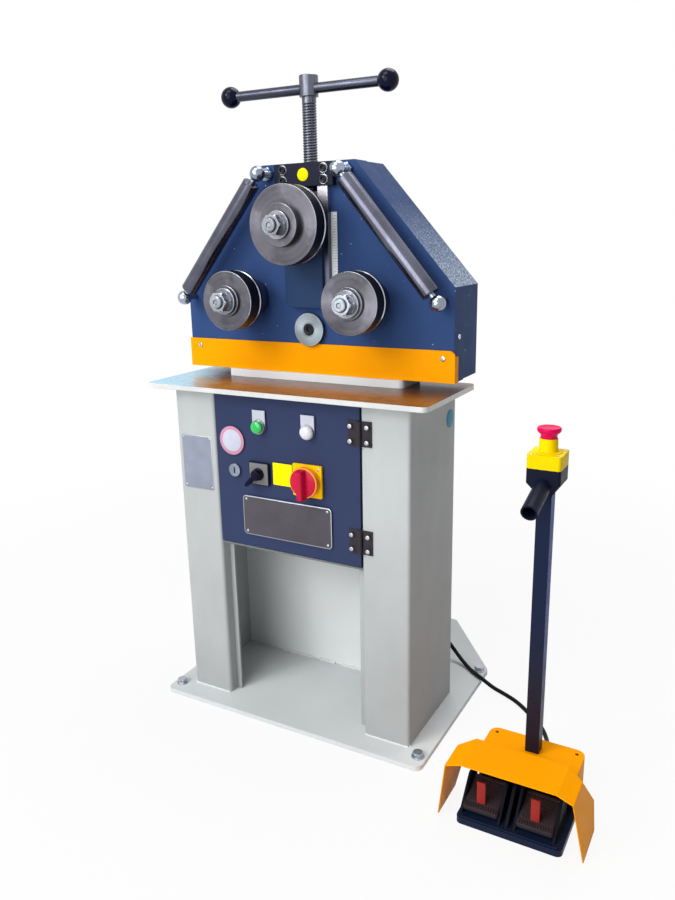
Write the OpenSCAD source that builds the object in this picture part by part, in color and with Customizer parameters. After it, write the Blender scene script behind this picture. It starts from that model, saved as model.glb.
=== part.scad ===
// Angle roll bender: a three-roll section bending machine on a sheet stand, with a foot pedal station.
// Millimetres. X runs to the right, Y to the back and Z up.
// The origin lies on the floor, in the middle of the base plate.

/* [Base] */
// Width of the base plate
base_w = 628; // [616:1:640]
// Depth of the base plate
base_d = 608; // [570:1:680]
// Thickness of the base plate
base_t = 10; // [8:0.5:14]
// Distance from the front of the base plate to the front of the column
base_toe = 49; // [44:1:70]
// Depth of the taper at the rear of the base plate
base_taper_d = 205; // [160:1:240]
// Width of the base plate at its rear edge
base_back_w = 318; // [300:1:400]
// Corner radius of the base plate
base_r = 15; // [6:1:20]
// Diameter of the floor holes
anchor_d = 14; // [10:0.5:16]
// Distance of the bolted floor holes from the side edges
anchor_edge = 18; // [16:1:24]
// Distance of the front floor holes from the front edge
anchor_front = 32; // [18:1:36]
// Distance of the middle floor holes from the start of the taper
anchor_mid = 9; // [6:1:14]
// Spacing of the two empty rear floor holes
rear_hole_spacing = 296; // [240:1:300]
// Distance of the empty rear floor holes from the rear edge
rear_hole_edge = 34; // [28:1:60]

/* [Column] */
// Width of the column
col_w = 540; // [520:1:580]
// Depth of the column
col_d = 222; // [215:1:240]
// Height of the column above the base plate
col_h = 697; // [660:1:740]
// Thickness of the column's sheet
sheet_t = 4; // [3:0.5:5]
// Width of the front face of each leg
leg_w = 101; // [90:1:110]
// Depth of the lip folded back inside each leg
leg_lip = 45; // [38:1:46]
// Height of the open niche below the door
niche_h = 364; // [340:1:370]

/* [Table] */
// Width of the table plate
table_w = 631; // [600:1:680]
// Depth of the table plate
table_d = 248; // [235:1:260]
// Thickness of the table plate
table_t = 10; // [8:0.5:14]
// Distance that the table stands out in front of the column
table_nose = 34; // [26:1:44]
// Corner radius of the table plate and of the pedestal plate
table_r = 12; // [6:1:16]
// Width of the pedestal plate under the head
pedestal_w = 412; // [360:1:460]
// Thickness of the pedestal plate
pedestal_t = 16; // [12:0.5:22]
// Distance that the pedestal plate stands out in front of the head
pedestal_nose = 9; // [5:1:14]

/* [Head] */
// Width of the head
head_w = 614; // [600:1:640]
// Height of the head
head_h = 409; // [395:1:425]
// Height of the head's vertical sides
shoulder_h = 177; // [165:1:190]
// Width of the head's flat top
head_top_w = 208; // [200:1:240]
// Distance of the head's face behind the column's front
head_setback = 115; // [105:1:125]
// Depth of the front casing
casing_d = 50; // [49:0.5:54]
// Depth of the rear cover
cover_d = 74; // [72:1:84]
// Thickness of the casing's front wall
face_t = 20; // [18:0.5:22]
// Thickness of the casing's and the cover's other walls
shell_t = 6; // [4:0.5:8]
// Distance that the rear cover is set in from the casing's outline
cover_step = 1; // [0.5:0.5:3]
// Height of the strip along the bottom of the face
strip_h = 61; // [50:1:64]
// Thickness of the strip
strip_t = 3; // [2:0.25:3.5]

/* [Slide] */
// Width of the slide and of its apron
slide_w = 80; // [76:1:84]
// Height of the slide block above the upper roll's axis
slide_up = 56; // [52:1:57]
// Height of the slide block below the upper roll's axis
slide_down = 59; // [50:1:60]
// Height of the apron below the upper roll's axis
apron_down = 158; // [156:1:164]
// Height of the apron above the upper roll's axis
apron_up = 24; // [20:1:40]
// Thickness of the apron
apron_t = 7; // [5:0.5:9]
// Width of each face rail
rail_w = 22; // [18:1:24]
// Thickness of each face rail
rail_t = 11.5; // [11:0.25:13]
// Distance from the upper roll's axis down to the end of the slide's slot
slot_down = 154; // [150:1:156]
// Width of the cap block over the slot
cap_w = 130; // [124:1:140]
// Height of the cap block
cap_h = 43; // [38:1:44]
// Distance that the cap block stands out in front of the face
cap_proud = 15.5; // [14:0.5:24]

/* [Rolls] */
// Diameter of the lower rolls
lower_roll_d = 117; // [100:1:122]
// Diameter of the upper roll
upper_roll_d = 148; // [130:1:152]
// Spacing of the lower rolls' axes
roll_spacing = 274; // [268:1:290]
// Height of the lower rolls' axes above the head's bottom
lower_roll_h = 151; // [148:1:156]
// Height of the upper roll's axis above the lower axes, as photographed
roll_rise = 142; // [138:1:146]
// Distance of the rolls' front faces from the head's face
roll_reach = 95; // [90:1:110]
// Width of a roll's main disc
roll_disc_w = 30; // [24:1:32]
// Width of the groove behind the main disc
roll_groove_w = 3.5; // [2:0.5:6]
// Width of a roll's rear flange
roll_flange_w = 8.5; // [6:0.5:10]
// Diameter of the roll shafts
shaft_d = 30; // [26:1:31]
// Outer diameter of the ball bearings
bearing_d = 62; // [58:1:64]
// Width of the ball bearings
bearing_w = 16; // [12:1:17]
// Diameter of the bearing caps on the face
bearing_cap_d = 76; // [70:1:84]
// Height of the bearing caps
bearing_cap_h = 16; // [10:1:20]
// Size across the flats of the roll nuts
roll_nut_af = 36; // [32:1:40]

/* [Drive] */
// Teeth on each lower shaft's gear
gear_teeth = 44; // [44:1:45]
// Teeth on the drive pinion
pinion_teeth = 16; // [16:1:17]
// Module of the gears
gear_module = 5; // [4.9:0.05:5.1]
// Width of the gears
gear_w = 25; // [18:1:28]
// Diameter of the disc on the drive pinion's front end
disc_d = 67; // [64:1:70]
// Diameter of the gearbox
gearbox_d = 140; // [120:1:150]
// Length of the gearbox
gearbox_l = 96; // [80:1:120]
// Diameter of the motor over its fins
motor_d = 126; // [110:1:134]
// Length of the motor
motor_l = 146; // [120:1:170]
// Length of the motor's fan cover
fan_cover_l = 44; // [34:1:56]

/* [Spindle] */
// Diameter of the spindle's thread
spindle_d = 28; // [26:1:32]
// Pitch of the spindle's thread
spindle_pitch = 5; // [4:0.5:6]
// Distance of the spindle's axis behind the head's face
spindle_inset = 16; // [15:0.5:17]
// Length of thread that shows above the cap block, as photographed
spindle_out = 109.5; // [100:0.5:120]
// Diameter of the spindle's hub
hub_d = 36.5; // [34:0.5:46]
// Height of the spindle's hub
hub_h = 38; // [30:1:46]
// Diameter of the turning bar
bar_d = 19; // [14:0.5:20]
// Distance between the ball knobs' centres
bar_len = 339; // [300:1:400]
// Distance that the bar is pushed through the hub to the left
bar_shift = 6.5; // [0:0.5:20]
// Angle of the bar to the machine's front, as photographed
bar_angle = 2.3; // [0:0.1:20]
// Diameter of the ball knobs
knob_d = 40; // [34:1:46]

/* [Support rollers] */
// Distance of the upper ball studs from the centre line
support_top_x = 88.6; // [84:0.2:92]
// Distance of the upper ball studs below the head's top
support_top_drop = 18; // [16:1:24]
// Distance of the lower ball studs in from the head's sides
support_low_in = 18; // [15:1:24]
// Distance of the lower ball studs below the head's shoulders
support_low_drop = 26; // [20:1:34]
// Distance of the support rollers in front of the face
support_stand = 39; // [34:1:42]
// Outer diameter of the support rollers
support_d = 34; // [28:1:36]
// Diameter of the rods inside the support rollers
support_rod_d = 12; // [10:0.5:14]
// Diameter of the ball studs
support_ball_d = 30; // [26:1:32]

/* [Door] */
// Gap round the door
door_gap = 2; // [1.5:0.25:3]
// Thickness of the door's sheet
door_t = 3; // [2:0.25:4]
// Depth of the door's folded edges
door_fold = 20; // [14:1:26]
// Height of the hinges
hinge_h = 49; // [40:1:56]
// Width of each hinge leaf from the hinge's axis
hinge_leaf_w = 25; // [20:1:30]
// Thickness of the hinge leaves
hinge_t = 2; // [1.5:0.25:2.5]
// Diameter of the hinge barrels
hinge_barrel_d = 8; // [7:0.25:9]
// Height of the lower hinge above the door's bottom
hinge_low = 29; // [20:1:60]
// Distance of the upper hinge below the door's top
hinge_high = 32; // [20:1:60]

/* [Controls] */
// Distance of the control row's start button and lamp below the door's top
lamp_drop = 64; // [58:1:70]
// Distance of the switches below the door's top
switch_drop = 162; // [150:1:168]
// Distance of the start button and of the lamp from the centre line
lamp_x = 56.5; // [50:0.5:64]
// Distance of the main switch from the centre line
switch_x = 54; // [48:1:60]
// Distance of the selector from the centre line
selector_x = 60; // [54:1:66]
// Distance of the key lock from the centre line
lock_x = 121.5; // [116:0.5:126]
// Size of the main switch's square plate
switch_plate_w = 66; // [56:1:70]
// Size of the selector's square plate
selector_plate_w = 48; // [42:1:54]
// Diameter of the main switch's handle
switch_handle_d = 50; // [40:1:54]
// Diameter of the start button's bezel and of the lamp
button_d = 30; // [26:1:34]
// Travel of the start button
button_travel = 4; // [2:0.5:5]
// Diameter of the key lock's head
lock_d = 27; // [22:1:30]
// Width of the name plate
name_plate_w = 210; // [180:1:230]
// Height of the name plate
name_plate_h = 85; // [70:1:92]
// Height of the name plate above the door's bottom
name_plate_z = 27; // [22:1:40]

/* [Pedal station] */
// Distance of the pedal station's middle to the right of the machine's centre line
station_x = 514; // [500:1:600]
// Distance of the pedal station's front in front of the base plate
station_front = 93; // [88:1:120]
// Width of the pedal station's base
station_w = 186; // [182:1:195]
// Depth of the pedal station's base
station_d = 190; // [184:1:200]
// Thickness of the pedal station's base
station_t = 12; // [10:1:14]
// Width of the hood's flat top
hood_top_w = 164; // [150:1:172]
// Width of the hood at its folds
hood_fold_w = 218; // [210:1:230]
// Width of the hood at the floor
hood_foot_w = 254; // [240:1:270]
// Height of the hood's canopy
hood_h = 126; // [120:1:136]
// Thickness of the hood's sheet
hood_t = 2.5; // [2:0.25:3.5]
// Width of the box at the hood's rear
hood_box_w = 178; // [172:1:184]
// Depth of the box at the hood's rear
hood_box_d = 76; // [70:1:82]
// Height of the box at the hood's rear
hood_box_h = 80; // [76:1:90]
// Width of each pedal
pedal_w = 63; // [58:1:66]
// Length of each pedal
pedal_l = 69; // [60:1:72]
// Thickness of each pedal
pedal_t = 9; // [7:0.5:10]
// Slope of the pedals
pedal_slope = 14.5; // [12:0.5:16]
// Width of the square pole
pole_w = 25; // [20:1:30]
// Wall of the square pole
pole_wall = 2; // [1.5:0.25:3]
// Height of the pole's top above the floor
pole_top = 577; // [540:1:660]
// Width of the stop button's box
stop_box_w = 58; // [52:1:72]
// Height of the stop button's yellow cover
stop_cover_h = 24; // [22:1:34]
// Diameter of the stop button
stop_d = 40; // [34:1:44]
// Travel of the stop button
stop_travel = 5; // [3:0.5:6]
// Outer diameter of the holder tube under the stop box
holder_d = 28; // [26:1:30]
// Length of the holder tube
holder_l = 101; // [90:1:110]
// Slope of the holder tube
holder_slope = 16; // [12:1:24]

/* [Cable] */
// Diameter of the pedal station's cable
cable_d = 9; // [8:0.5:10]

/* [Hidden] */
$fn = 48;
// Overrun of cuts
over = 1;
// Clearance between faces that slide or turn past each other
gap = 0.3;
// Radial clearance of running fits
fit = 0.05;
// Steps in each rounded corner
arc_steps = 6;

// Bolts
washer_d = 26;
washer_t = 2.5;
anchor_head_af = 19;
anchor_head_h = 8;
cap_screw_d = 8;
cap_screw_head_d = 15;
cap_screw_head_h = 4.5;
cap_washer_d = 19;
cap_washer_t = 1.5;
cap_screw_edge = 19.5;
cap_screw_spread = 20;
cap_rise = -1.5;
socket_share = 0.55;

// Column
bend_r = 7;
shelf_t = 4;
tray_w = 260;
tray_h = 210;
tray_t = 2;
contactor_w = 46;
contactor_h = 80;
contactor_d = 70;
contactor_count = 3;
contactor_step = 70;
terminal_h = 30;
terminal_d = 40;

// Slide
slide_gap = 0.5;
keeper_t = 8;
guide_w = 18;
rail_seat_share = 0.5;
guide_inset = 2;
pocket_wall = 4.5;
collar_d = 40;
collar_h = 11;
retainer_t = 5;
nut_d = 44;

// Rolls
stud_d = 24;
shoulder_d = 44;
key_w = 8;
key_rise = 3.3;
roll_groove_h = 8;
roll_chamfer = 1.5;
lower_spacer_d = 62;
lower_spacer_t = 6;
upper_spacer_d = 80;
upper_spacer_t = 15;
roll_washer_d = 52;
roll_washer_t = 5;
roll_nut_h = 20;
stud_tip = 5;

// Drive
pressure_angle = 20;
addendum_share = 0.85;
dedendum_share = 1.25;
flank_play = 0.3;
gear_gap = 10;
rear_wall = 20;
bearing_end = 4;
disc_shoulder_d = 50;
disc_screw_d = 12;
disc_screw_head_d = 24;
disc_screw_head_h = 6;
disc_screw_l = 26;
disc_t = 7;
motor_flange_d = 168;
motor_flange_t = 14;
motor_shaft_in = 60;
fin_h = 9;
fin_t = 3;
fin_count = 18;
fan_cover_wall = 2;
terminal_box_w = 76;
terminal_box_h = 46;

// Spindle
thread_depth = 2.75;
neck_d = 27.4;
neck_h = 10;
bar_drop = 4.5;

// Support rollers
stud_rod_d = 12;
rod_seat = 6;
roller_top_gap = 22;
roller_low_gap = 21;

// Door and controls
hinge_pin_d = 4;
hinge_lift = 0.5;
plate_t = 3;
name_plate_t = 1.5;
name_plate_r = 8;
control_hole_d = 22;
control_stem_d = 12;
control_body_w = 42;
control_body_d = 48;
button_cap_d = 22;
button_cap_h = 9;
button_bezel_h = 7;
lamp_lens_h = 14;
label_w = 30;
label_h = 47;
label_t = 2;
label_up = 32;
handle_disc_h = 12;
handle_grip_w = 14;
handle_grip_l = 60;
handle_grip_h = 18;
lever_hub_d = 24;
lever_hub_h = 14;
lever_w = 10;
lever_l = 30;
lever_angle = 135;
lock_head_h = 6;
lock_body_d = 19;
cam_w = 14;
cam_l = 58;
cam_t = 3;

// Pedal station
station_r = 10;
divider_w = 6;
switch_body_w = 150;
switch_body_h = 60;
cheek_t = 5;
cheek_h = 64;
cheek_front = 12;
cheek_rise = 47;
pedal_pitch = 95.6;
pedal_shift = -5.5;
pedal_pin_d = 6;
pedal_pin_h = 42;
pedal_pin_end = 4;
pedal_hinge_back = 81;
hood_fold_h = 117;
hood_box_r = 17;
hood_box_front_r = 0.5;
canopy_out = 8;
canopy_back = 74;
fold_out = 11;
fold_back = 52;
wing_tip_back = 6;
wing_heel_back = 89;
wing_back = 109;
wing_back_h = 46;
hood_hole_d = 7;
hood_hole_x = 75;
hood_hole_back = 14;
pole_back = 41.5;
stop_box_r = 6;
stop_taper_h = 23;
stop_box_h = 26;
stop_neck_d = 25;
stop_neck_h = 18;
stop_stem_d = 16;
stop_skirt_d = 29;
stop_skirt_h = 17;
stop_skirt_lap = 1.5;
stop_cap_h = 9;
holder_wall = 3;
holder_rise = 26;
holder_back = 7;

// Cable and glands
gland_d = 22;
gland_l = 28;
gland_x = 170;
gland_z = 150;
station_gland_l = 18;
station_gland_z = 36;
cable_sides = 10;
cable_lift = 0.5;

// Places worked out from the sizes above
base_front_y = -base_d / 2;
base_back_y = base_d / 2;
base_taper_y = base_back_y - base_taper_d;
anchor_x = base_w / 2 - anchor_edge;
anchor_front_y = base_front_y + anchor_front;
anchor_mid_y = base_taper_y - anchor_mid;
col_front_y = base_front_y + base_toe;
col_back_y = col_front_y + col_d;
col_top_z = base_t + col_h;
leg_x = col_w / 2 - leg_w;
table_front_y = col_front_y - table_nose;
table_top_z = col_top_z + table_t;
head_bottom_z = table_top_z + pedestal_t;
head_top_z = head_bottom_z + head_h;
shoulder_z = head_bottom_z + shoulder_h;
head_front_y = col_front_y + head_setback;
face_back_y = head_front_y + face_t;
casing_back_y = head_front_y + casing_d;
cover_back_y = casing_back_y + cover_d;
roll_x = roll_spacing / 2;
lower_z = head_bottom_z + lower_roll_h;
upper_z = lower_z + roll_rise;
roll_face_y = head_front_y - roll_reach;
roll_w = roll_disc_w + roll_groove_w + roll_flange_w;
roll_back_y = roll_face_y + roll_w;
gear_centre = gear_module * (gear_teeth + pinion_teeth) / 2;
pinion_z = lower_z - sqrt(gear_centre * gear_centre - roll_x * roll_x);
gear_front_y = casing_back_y + gear_gap;
rear_wall_y = cover_back_y - rear_wall;
slot_z = upper_z - slot_down;
cap_z = head_top_z + cap_rise - cap_h;
cap_top_z = cap_z + cap_h;
guide_back_y = casing_back_y - guide_inset;
rail_front_y = head_front_y - rail_t;
apron_back_y = rail_front_y - slide_gap;
apron_front_y = apron_back_y - apron_t;
block_front_y = head_front_y + gap;
block_back_y = guide_back_y - gap;
block_top_z = upper_z + slide_up;
neck_half = slide_w / 2 + fit + (rail_seat_share - 1) * rail_w - gap;
spindle_y = head_front_y + spindle_inset;
thread_top_z = cap_top_z + spindle_out;
hub_z = thread_top_z + neck_h;
bar_z = hub_z + hub_h / 2 - bar_drop;
support_y = head_front_y - support_stand;
support_top_z = head_top_z - support_top_drop;
support_low_x = head_w / 2 - support_low_in;
support_low_z = shoulder_z - support_low_drop;
support_l = norm([support_low_x - support_top_x, support_top_z - support_low_z]);
support_tilt = atan2(support_low_x - support_top_x, support_low_z - support_top_z);
door_w = 2 * (leg_x - door_gap);
door_z = base_t + niche_h + shelf_t + door_gap;
door_h = col_top_z - door_gap - door_z;
door_top_z = door_z + door_h;
hinge_x = leg_x - door_gap / 2;
hinge_y = col_front_y - hinge_barrel_d / 2 - hinge_lift;
lamp_z = door_top_z - lamp_drop;
switch_z = door_top_z - switch_drop;
station_y = base_front_y - station_front;
station_back_y = station_y + station_d;
hood_box_y = station_back_y - hood_box_d;
pole_y = hood_box_y + pole_back;
stop_box_z = pole_top;
stop_cover_z = stop_box_z + stop_taper_h + stop_box_h;
stop_top_z = stop_cover_z + stop_cover_h;
stop_neck_z = stop_top_z + stop_neck_h;
pedal_hinge_y = station_y + pedal_hinge_back;

// Heights of the cable's middle on the base plate and on the floor
deck_z = base_t + cable_d / 2 + cable_lift;
floor_z = cable_d / 2 + cable_lift;

// Route of the cable, from the column's gland to the pedal station's gland
cable_plan = [
    [170, -5, 150], [170, 14, 149], [171, 36, 143], [172.7, 55.2, 134], [175.7, 72.5, 121.9],
    [180.7, 87.1, 107.2], [188.2, 98.3, 90.6], [198.3, 105.3, 73.1], [210.9, 107.7, 56],
    [225.6, 105.6, 40.7], [241.8, 99.4, 28.2], [258.8, 89.8, 19.5], [276, 78, deck_z], [294, 64, deck_z],
    [312, 52, deck_z], [330, 43, 12], [348, 36, 8], [366, 30, floor_z + 1], [386, 22, floor_z],
    [406, 11, floor_z], [426, -4, floor_z], [445, -21, floor_z], [462, -36, floor_z], [478, -53, floor_z],
    [491, -71, floor_z], [501, -90, floor_z + 0.4], [508, -108, 8.8], [512, -125, 15.6], [513.6, -141, 23.5],
    [514, -156, 30], [514, -172, 34.4], [514, -189, 36]
];
cable_last = len(cable_plan) - 1;

// Shifts that keep the cable's ends in its glands when other sizes change
start_shift = [gland_x, col_back_y + gland_l, gland_z] - cable_plan[0];
end_shift = [station_x, station_back_y + station_gland_l, station_gland_z] - cable_plan[cable_last];
cable_route = [for (i = [0:cable_last])
    cable_plan[i] + (1 - i / cable_last) * start_shift + i / cable_last * end_shift];

// Unit vector
function unit(v) = v / norm(v);

// Points of one corner of an outline, rounded where its radius is above zero
function corner(a, p, b, r) =
    r <= 0 ? [p] :
    let (
        u = unit(a - p),
        v = unit(b - p),
        half = acos(u * v) / 2,
        centre = p + unit(u + v) * r / sin(half),
        from = p + u * r / tan(half) - centre,
        to = p + v * r / tan(half) - centre,
        start = atan2(from.y, from.x),
        sweep = (atan2(to.y, to.x) - start + 540) % 360 - 180
    )
    [for (k = [0:arc_steps])
        centre + r * [cos(start + sweep * k / arc_steps), sin(start + sweep * k / arc_steps)]];

// Closed outline with one radius for each corner
function rounded_each(points, radii) =
    let (n = len(points))
    [for (i = [0:n - 1])
        each corner(points[(i + n - 1) % n], points[i], points[(i + 1) % n], radii[i])];

// Closed outline with the same radius at every corner
function rounded(points, r) = rounded_each(points, [for (p = points) r]);

// Corners of a rectangle
function rectangle(x0, y0, x1, y1) = [[x0, y0], [x1, y0], [x1, y1], [x0, y1]];

// Plate in the XZ plane that reaches forward from its back face
module front_plate(points, back_y, t) {
    translate([0, back_y, 0]) rotate([90, 0, 0]) linear_extrude(t) polygon(points);
}

// Round bar along Y
module y_rod(x, z, y0, y1, d) {
    translate([x, y0, z]) rotate([-90, 0, 0]) cylinder(h = y1 - y0, d = d);
}

// Ring along Y
module y_ring(x, z, y0, y1, outer, inner) {
    difference() {
        y_rod(x, z, y0, y1, outer);
        y_rod(x, z, y0 - over, y1 + over, inner);
    }
}

// Turned piece along Y, from points of radius and Y
module y_turned(x, z, points) {
    translate([x, 0, z]) rotate([-90, 0, 0]) rotate_extrude() polygon(points);
}

// Hexagonal prism along Y with a bore
module y_nut(x, z, y0, y1, across, bore) {
    difference() {
        translate([x, y0, z]) rotate([-90, 0, 0]) cylinder(h = y1 - y0, d = across / cos(30), $fn = 6);
        y_rod(x, z, y0 - over, y1 + over, bore);
    }
}

// Left and right copies about the centre line
module both_sides() {
    children();
    mirror([1, 0, 0]) children();
}

// Base plate and floor bolts
function base_outline() = rounded([
    [-base_w / 2, base_front_y], [base_w / 2, base_front_y], [base_w / 2, base_taper_y],
    [base_back_w / 2, base_back_y], [-base_back_w / 2, base_back_y], [-base_w / 2, base_taper_y]
], base_r);

module base_plate() {
    color("gainsboro")
    difference() {
        linear_extrude(base_t) polygon(base_outline());
        both_sides() {
            for (y = [anchor_front_y, anchor_mid_y])
                translate([anchor_x, y, -over]) cylinder(h = base_t + 2 * over, d = anchor_d);
            translate([rear_hole_spacing / 2, base_back_y - rear_hole_edge, -over])
                cylinder(h = base_t + 2 * over, d = anchor_d);
        }
    }
}

module anchor_bolt() {
    translate([0, 0, base_t]) cylinder(h = washer_t, d = washer_d);
    translate([0, 0, base_t + washer_t])
        cylinder(h = anchor_head_h, d = anchor_head_af / cos(30), $fn = 6);
    translate([0, 0, gap]) cylinder(h = base_t, d = anchor_d - 2 * gap);
}

module cap_screw(x, z) {
    front = head_front_y - cap_proud;
    difference() {
        union() {
            y_rod(x, z, front - cap_washer_t, front, cap_washer_d);
            y_rod(x, z, front - cap_washer_t - cap_screw_head_h, front, cap_screw_head_d);
            y_rod(x, z, front, face_back_y, cap_screw_d);
        }
        translate([x, front - cap_washer_t - cap_screw_head_h - over, z]) rotate([-90, 0, 0])
            cylinder(h = cap_screw_head_h * socket_share + over,
                     d = cap_screw_head_d * socket_share, $fn = 6);
    }
}

module each_cap_screw_place() {
    for (side = [-1, 1], row = [-1, 1])
        translate([side * (cap_w / 2 - cap_screw_edge), 0, cap_z + cap_h / 2 + row * cap_screw_spread / 2])
            children();
}

module fixing_bolts() {
    color("silver") {
        both_sides()
            for (y = [anchor_front_y, anchor_mid_y])
                translate([anchor_x, y, 0]) anchor_bolt();
        each_cap_screw_place() cap_screw(0, 0);
    }
}

// Column of two folded legs, a back panel and the tray for the electrics
module leg() {
    outer = col_w / 2;
    front = col_front_y;
    points = [
        [leg_x, front], [outer, front], [outer, col_back_y], [outer - sheet_t, col_back_y],
        [outer - sheet_t, front + sheet_t], [leg_x + sheet_t, front + sheet_t],
        [leg_x + sheet_t, front + leg_lip], [leg_x, front + leg_lip]
    ];
    inner_r = bend_r - sheet_t;
    translate([0, 0, base_t]) linear_extrude(col_h)
        polygon(rounded_each(points, [bend_r, bend_r, 0, 0, inner_r, inner_r, 0, 0]));
}

module left_leg() { color("lightgray") mirror([1, 0, 0]) leg(); }

module right_leg() { color("lightgray") leg(); }

module back_panel() {
    w = col_w - 2 * sheet_t;
    color("lightgray") translate([-w / 2, col_back_y - sheet_t, base_t])
    difference() {
        cube([w, sheet_t, col_h]);
        translate([w / 2 + gland_x, -over, gland_z - base_t]) rotate([-90, 0, 0])
            cylinder(h = sheet_t + 2 * over, d = cable_d + 2 * gap);
    }
}

module electrics_tray() {
    shelf_z = base_t + niche_h;
    panel_y = col_back_y - sheet_t;
    tray_z = shelf_z + shelf_t + (col_top_z - shelf_z - tray_h) / 2;
    tray_y = panel_y - tray_t;
    color("silver") {
        translate([-leg_x, col_front_y + door_gap, shelf_z])
            cube([2 * leg_x, panel_y - col_front_y - door_gap, shelf_t]);
        translate([-tray_w / 2, tray_y, tray_z]) cube([tray_w, tray_t, tray_h]);
        for (i = [0:contactor_count - 1])
            translate([(i - (contactor_count - 1) / 2) * contactor_step - contactor_w / 2,
                       tray_y - contactor_d, tray_z + tray_h - contactor_h])
                cube([contactor_w, contactor_d, contactor_h]);
        translate([-tray_w / 2, tray_y - terminal_d, tray_z]) cube([tray_w, terminal_d, terminal_h]);
    }
}

// Table plate and the pedestal plate that carries the head
module table_plate() {
    color("peru") translate([0, 0, col_top_z]) linear_extrude(table_t)
        polygon(rounded(
            rectangle(-table_w / 2, table_front_y, table_w / 2, table_front_y + table_d), table_r));
}

module pedestal_plate() {
    front = head_front_y - pedestal_nose;
    color("whitesmoke") translate([0, 0, table_top_z]) linear_extrude(pedestal_t)
        polygon(rounded(
            rectangle(-pedestal_w / 2, front, pedestal_w / 2, table_front_y + table_d - table_r), table_r));
}

// Head: outline set in by a distance, front casing, rear cover and strip
function head_outline(inset) =
    let (
        dx = (head_w - head_top_w) / 2,
        dz = head_top_z - shoulder_z,
        slant = norm([dx, dz]),
        side_x = head_w / 2 - inset,
        side_z = shoulder_z - inset * (slant - dz) / dx,
        top_x = head_top_w / 2 - inset * (slant - dx) / dz
    )
    [[-side_x, head_bottom_z + inset], [side_x, head_bottom_z + inset], [side_x, side_z],
     [top_x, head_top_z - inset], [-top_x, head_top_z - inset], [-side_x, side_z]];

// Places of the lower shafts and of the drive pinion
shaft_places = [[-roll_x, lower_z], [roll_x, lower_z], [0, pinion_z]];

module head_casing() {
    slot = slide_w / 2 + fit;
    color("darkslateblue")
    difference() {
        front_plate(head_outline(0), casing_back_y, casing_d);
        front_plate(head_outline(shell_t), casing_back_y + over, casing_d - face_t + over);
        translate([-slot, head_front_y - over, slot_z])
            cube([2 * slot, casing_d + 2 * over, head_top_z - slot_z + over]);
        for (p = shaft_places)
            y_rod(p.x, p.y, head_front_y - over, face_back_y + over, bearing_d + 2 * fit);
        each_cap_screw_place() y_rod(0, 0, head_front_y - over, face_back_y + over, cap_screw_d + 2 * fit);
    }
}

module head_cover() {
    color("darkslateblue")
    difference() {
        front_plate(head_outline(cover_step), cover_back_y, cover_d);
        front_plate(head_outline(cover_step + shell_t), rear_wall_y, cover_d - rear_wall + over);
        for (side = [-1, 1])
            y_rod(side * roll_x, lower_z, rear_wall_y - over, cover_back_y - bearing_end,
                  bearing_d + 2 * fit);
        y_rod(0, pinion_z, rear_wall_y - over, cover_back_y - bearing_end, bearing_d + 2 * fit);
        y_rod(0, pinion_z, rear_wall_y, cover_back_y + over, shaft_d + 2 * gap);
    }
}

module front_strip() {
    half = head_w / 2 + strip_t;
    top = head_bottom_z + strip_h;
    return_d = 6 * strip_t;
    outline = rectangle(-half, head_bottom_z, half, top);
    color("orange") {
        front_plate(rounded_each(outline, [0, 0, table_r, 0]), head_front_y, strip_t);
        both_sides()
            translate([head_w / 2, head_front_y - strip_t, head_bottom_z])
                cube([strip_t, return_d, strip_h - table_r]);
    }
}

// Slide guides: face rails, inner guides and the keeper plate behind the slide
module slide_rails() {
    outer = slide_w / 2 + fit;
    rail_x = outer + rail_w * rail_seat_share;
    h = cap_z - slot_z;
    color("gray") {
        both_sides() {
            translate([rail_x - rail_w, rail_front_y, slot_z]) cube([rail_w, rail_t, h]);
            translate([outer, face_back_y, slot_z]) cube([guide_w, guide_back_y - face_back_y, h]);
        }
        translate([-outer - guide_w, guide_back_y, slot_z]) cube([2 * (outer + guide_w), keeper_t, h]);
    }
}

// Cap block over the slot, with the spindle's nut in it
module cap_block() {
    tail = slide_w / 2;
    color("dimgray")
    difference() {
        union() {
            translate([-cap_w / 2, head_front_y - cap_proud, cap_z]) cube([cap_w, cap_proud, cap_h]);
            translate([-tail, head_front_y - over, cap_z])
                cube([2 * tail, guide_back_y - head_front_y + over, cap_h]);
        }
        translate([0, spindle_y, cap_z - over]) cylinder(h = cap_h + 2 * over, d = nut_d + 2 * fit);
        each_cap_screw_place()
            y_rod(0, 0, head_front_y - cap_proud - over, head_front_y + over, cap_screw_d + 2 * fit);
    }
}

module spindle_nut() {
    color("darkgoldenrod") translate([0, spindle_y, cap_z])
    difference() {
        cylinder(h = cap_h, d = nut_d);
        translate([0, 0, -over]) cylinder(h = cap_h + 2 * over, d = spindle_d + 2 * fit);
    }
}

// Bearings of the lower shafts and of the drive pinion, with the caps on the face
module bearing_caps() {
    color("steelblue")
    for (side = [-1, 1])
        y_ring(side * roll_x, lower_z, head_front_y - bearing_cap_h, head_front_y,
               bearing_cap_d, shoulder_d + 2 * gap);
}

module shaft_bearings() {
    front = face_back_y - bearing_w;
    color("silver")
    for (p = shaft_places) {
        y_ring(p.x, p.y, front, face_back_y, bearing_d, shaft_d + 2 * fit);
        y_ring(p.x, p.y, cover_back_y - bearing_end - bearing_w, cover_back_y - bearing_end,
               bearing_d, shaft_d + 2 * fit);
    }
}

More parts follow.
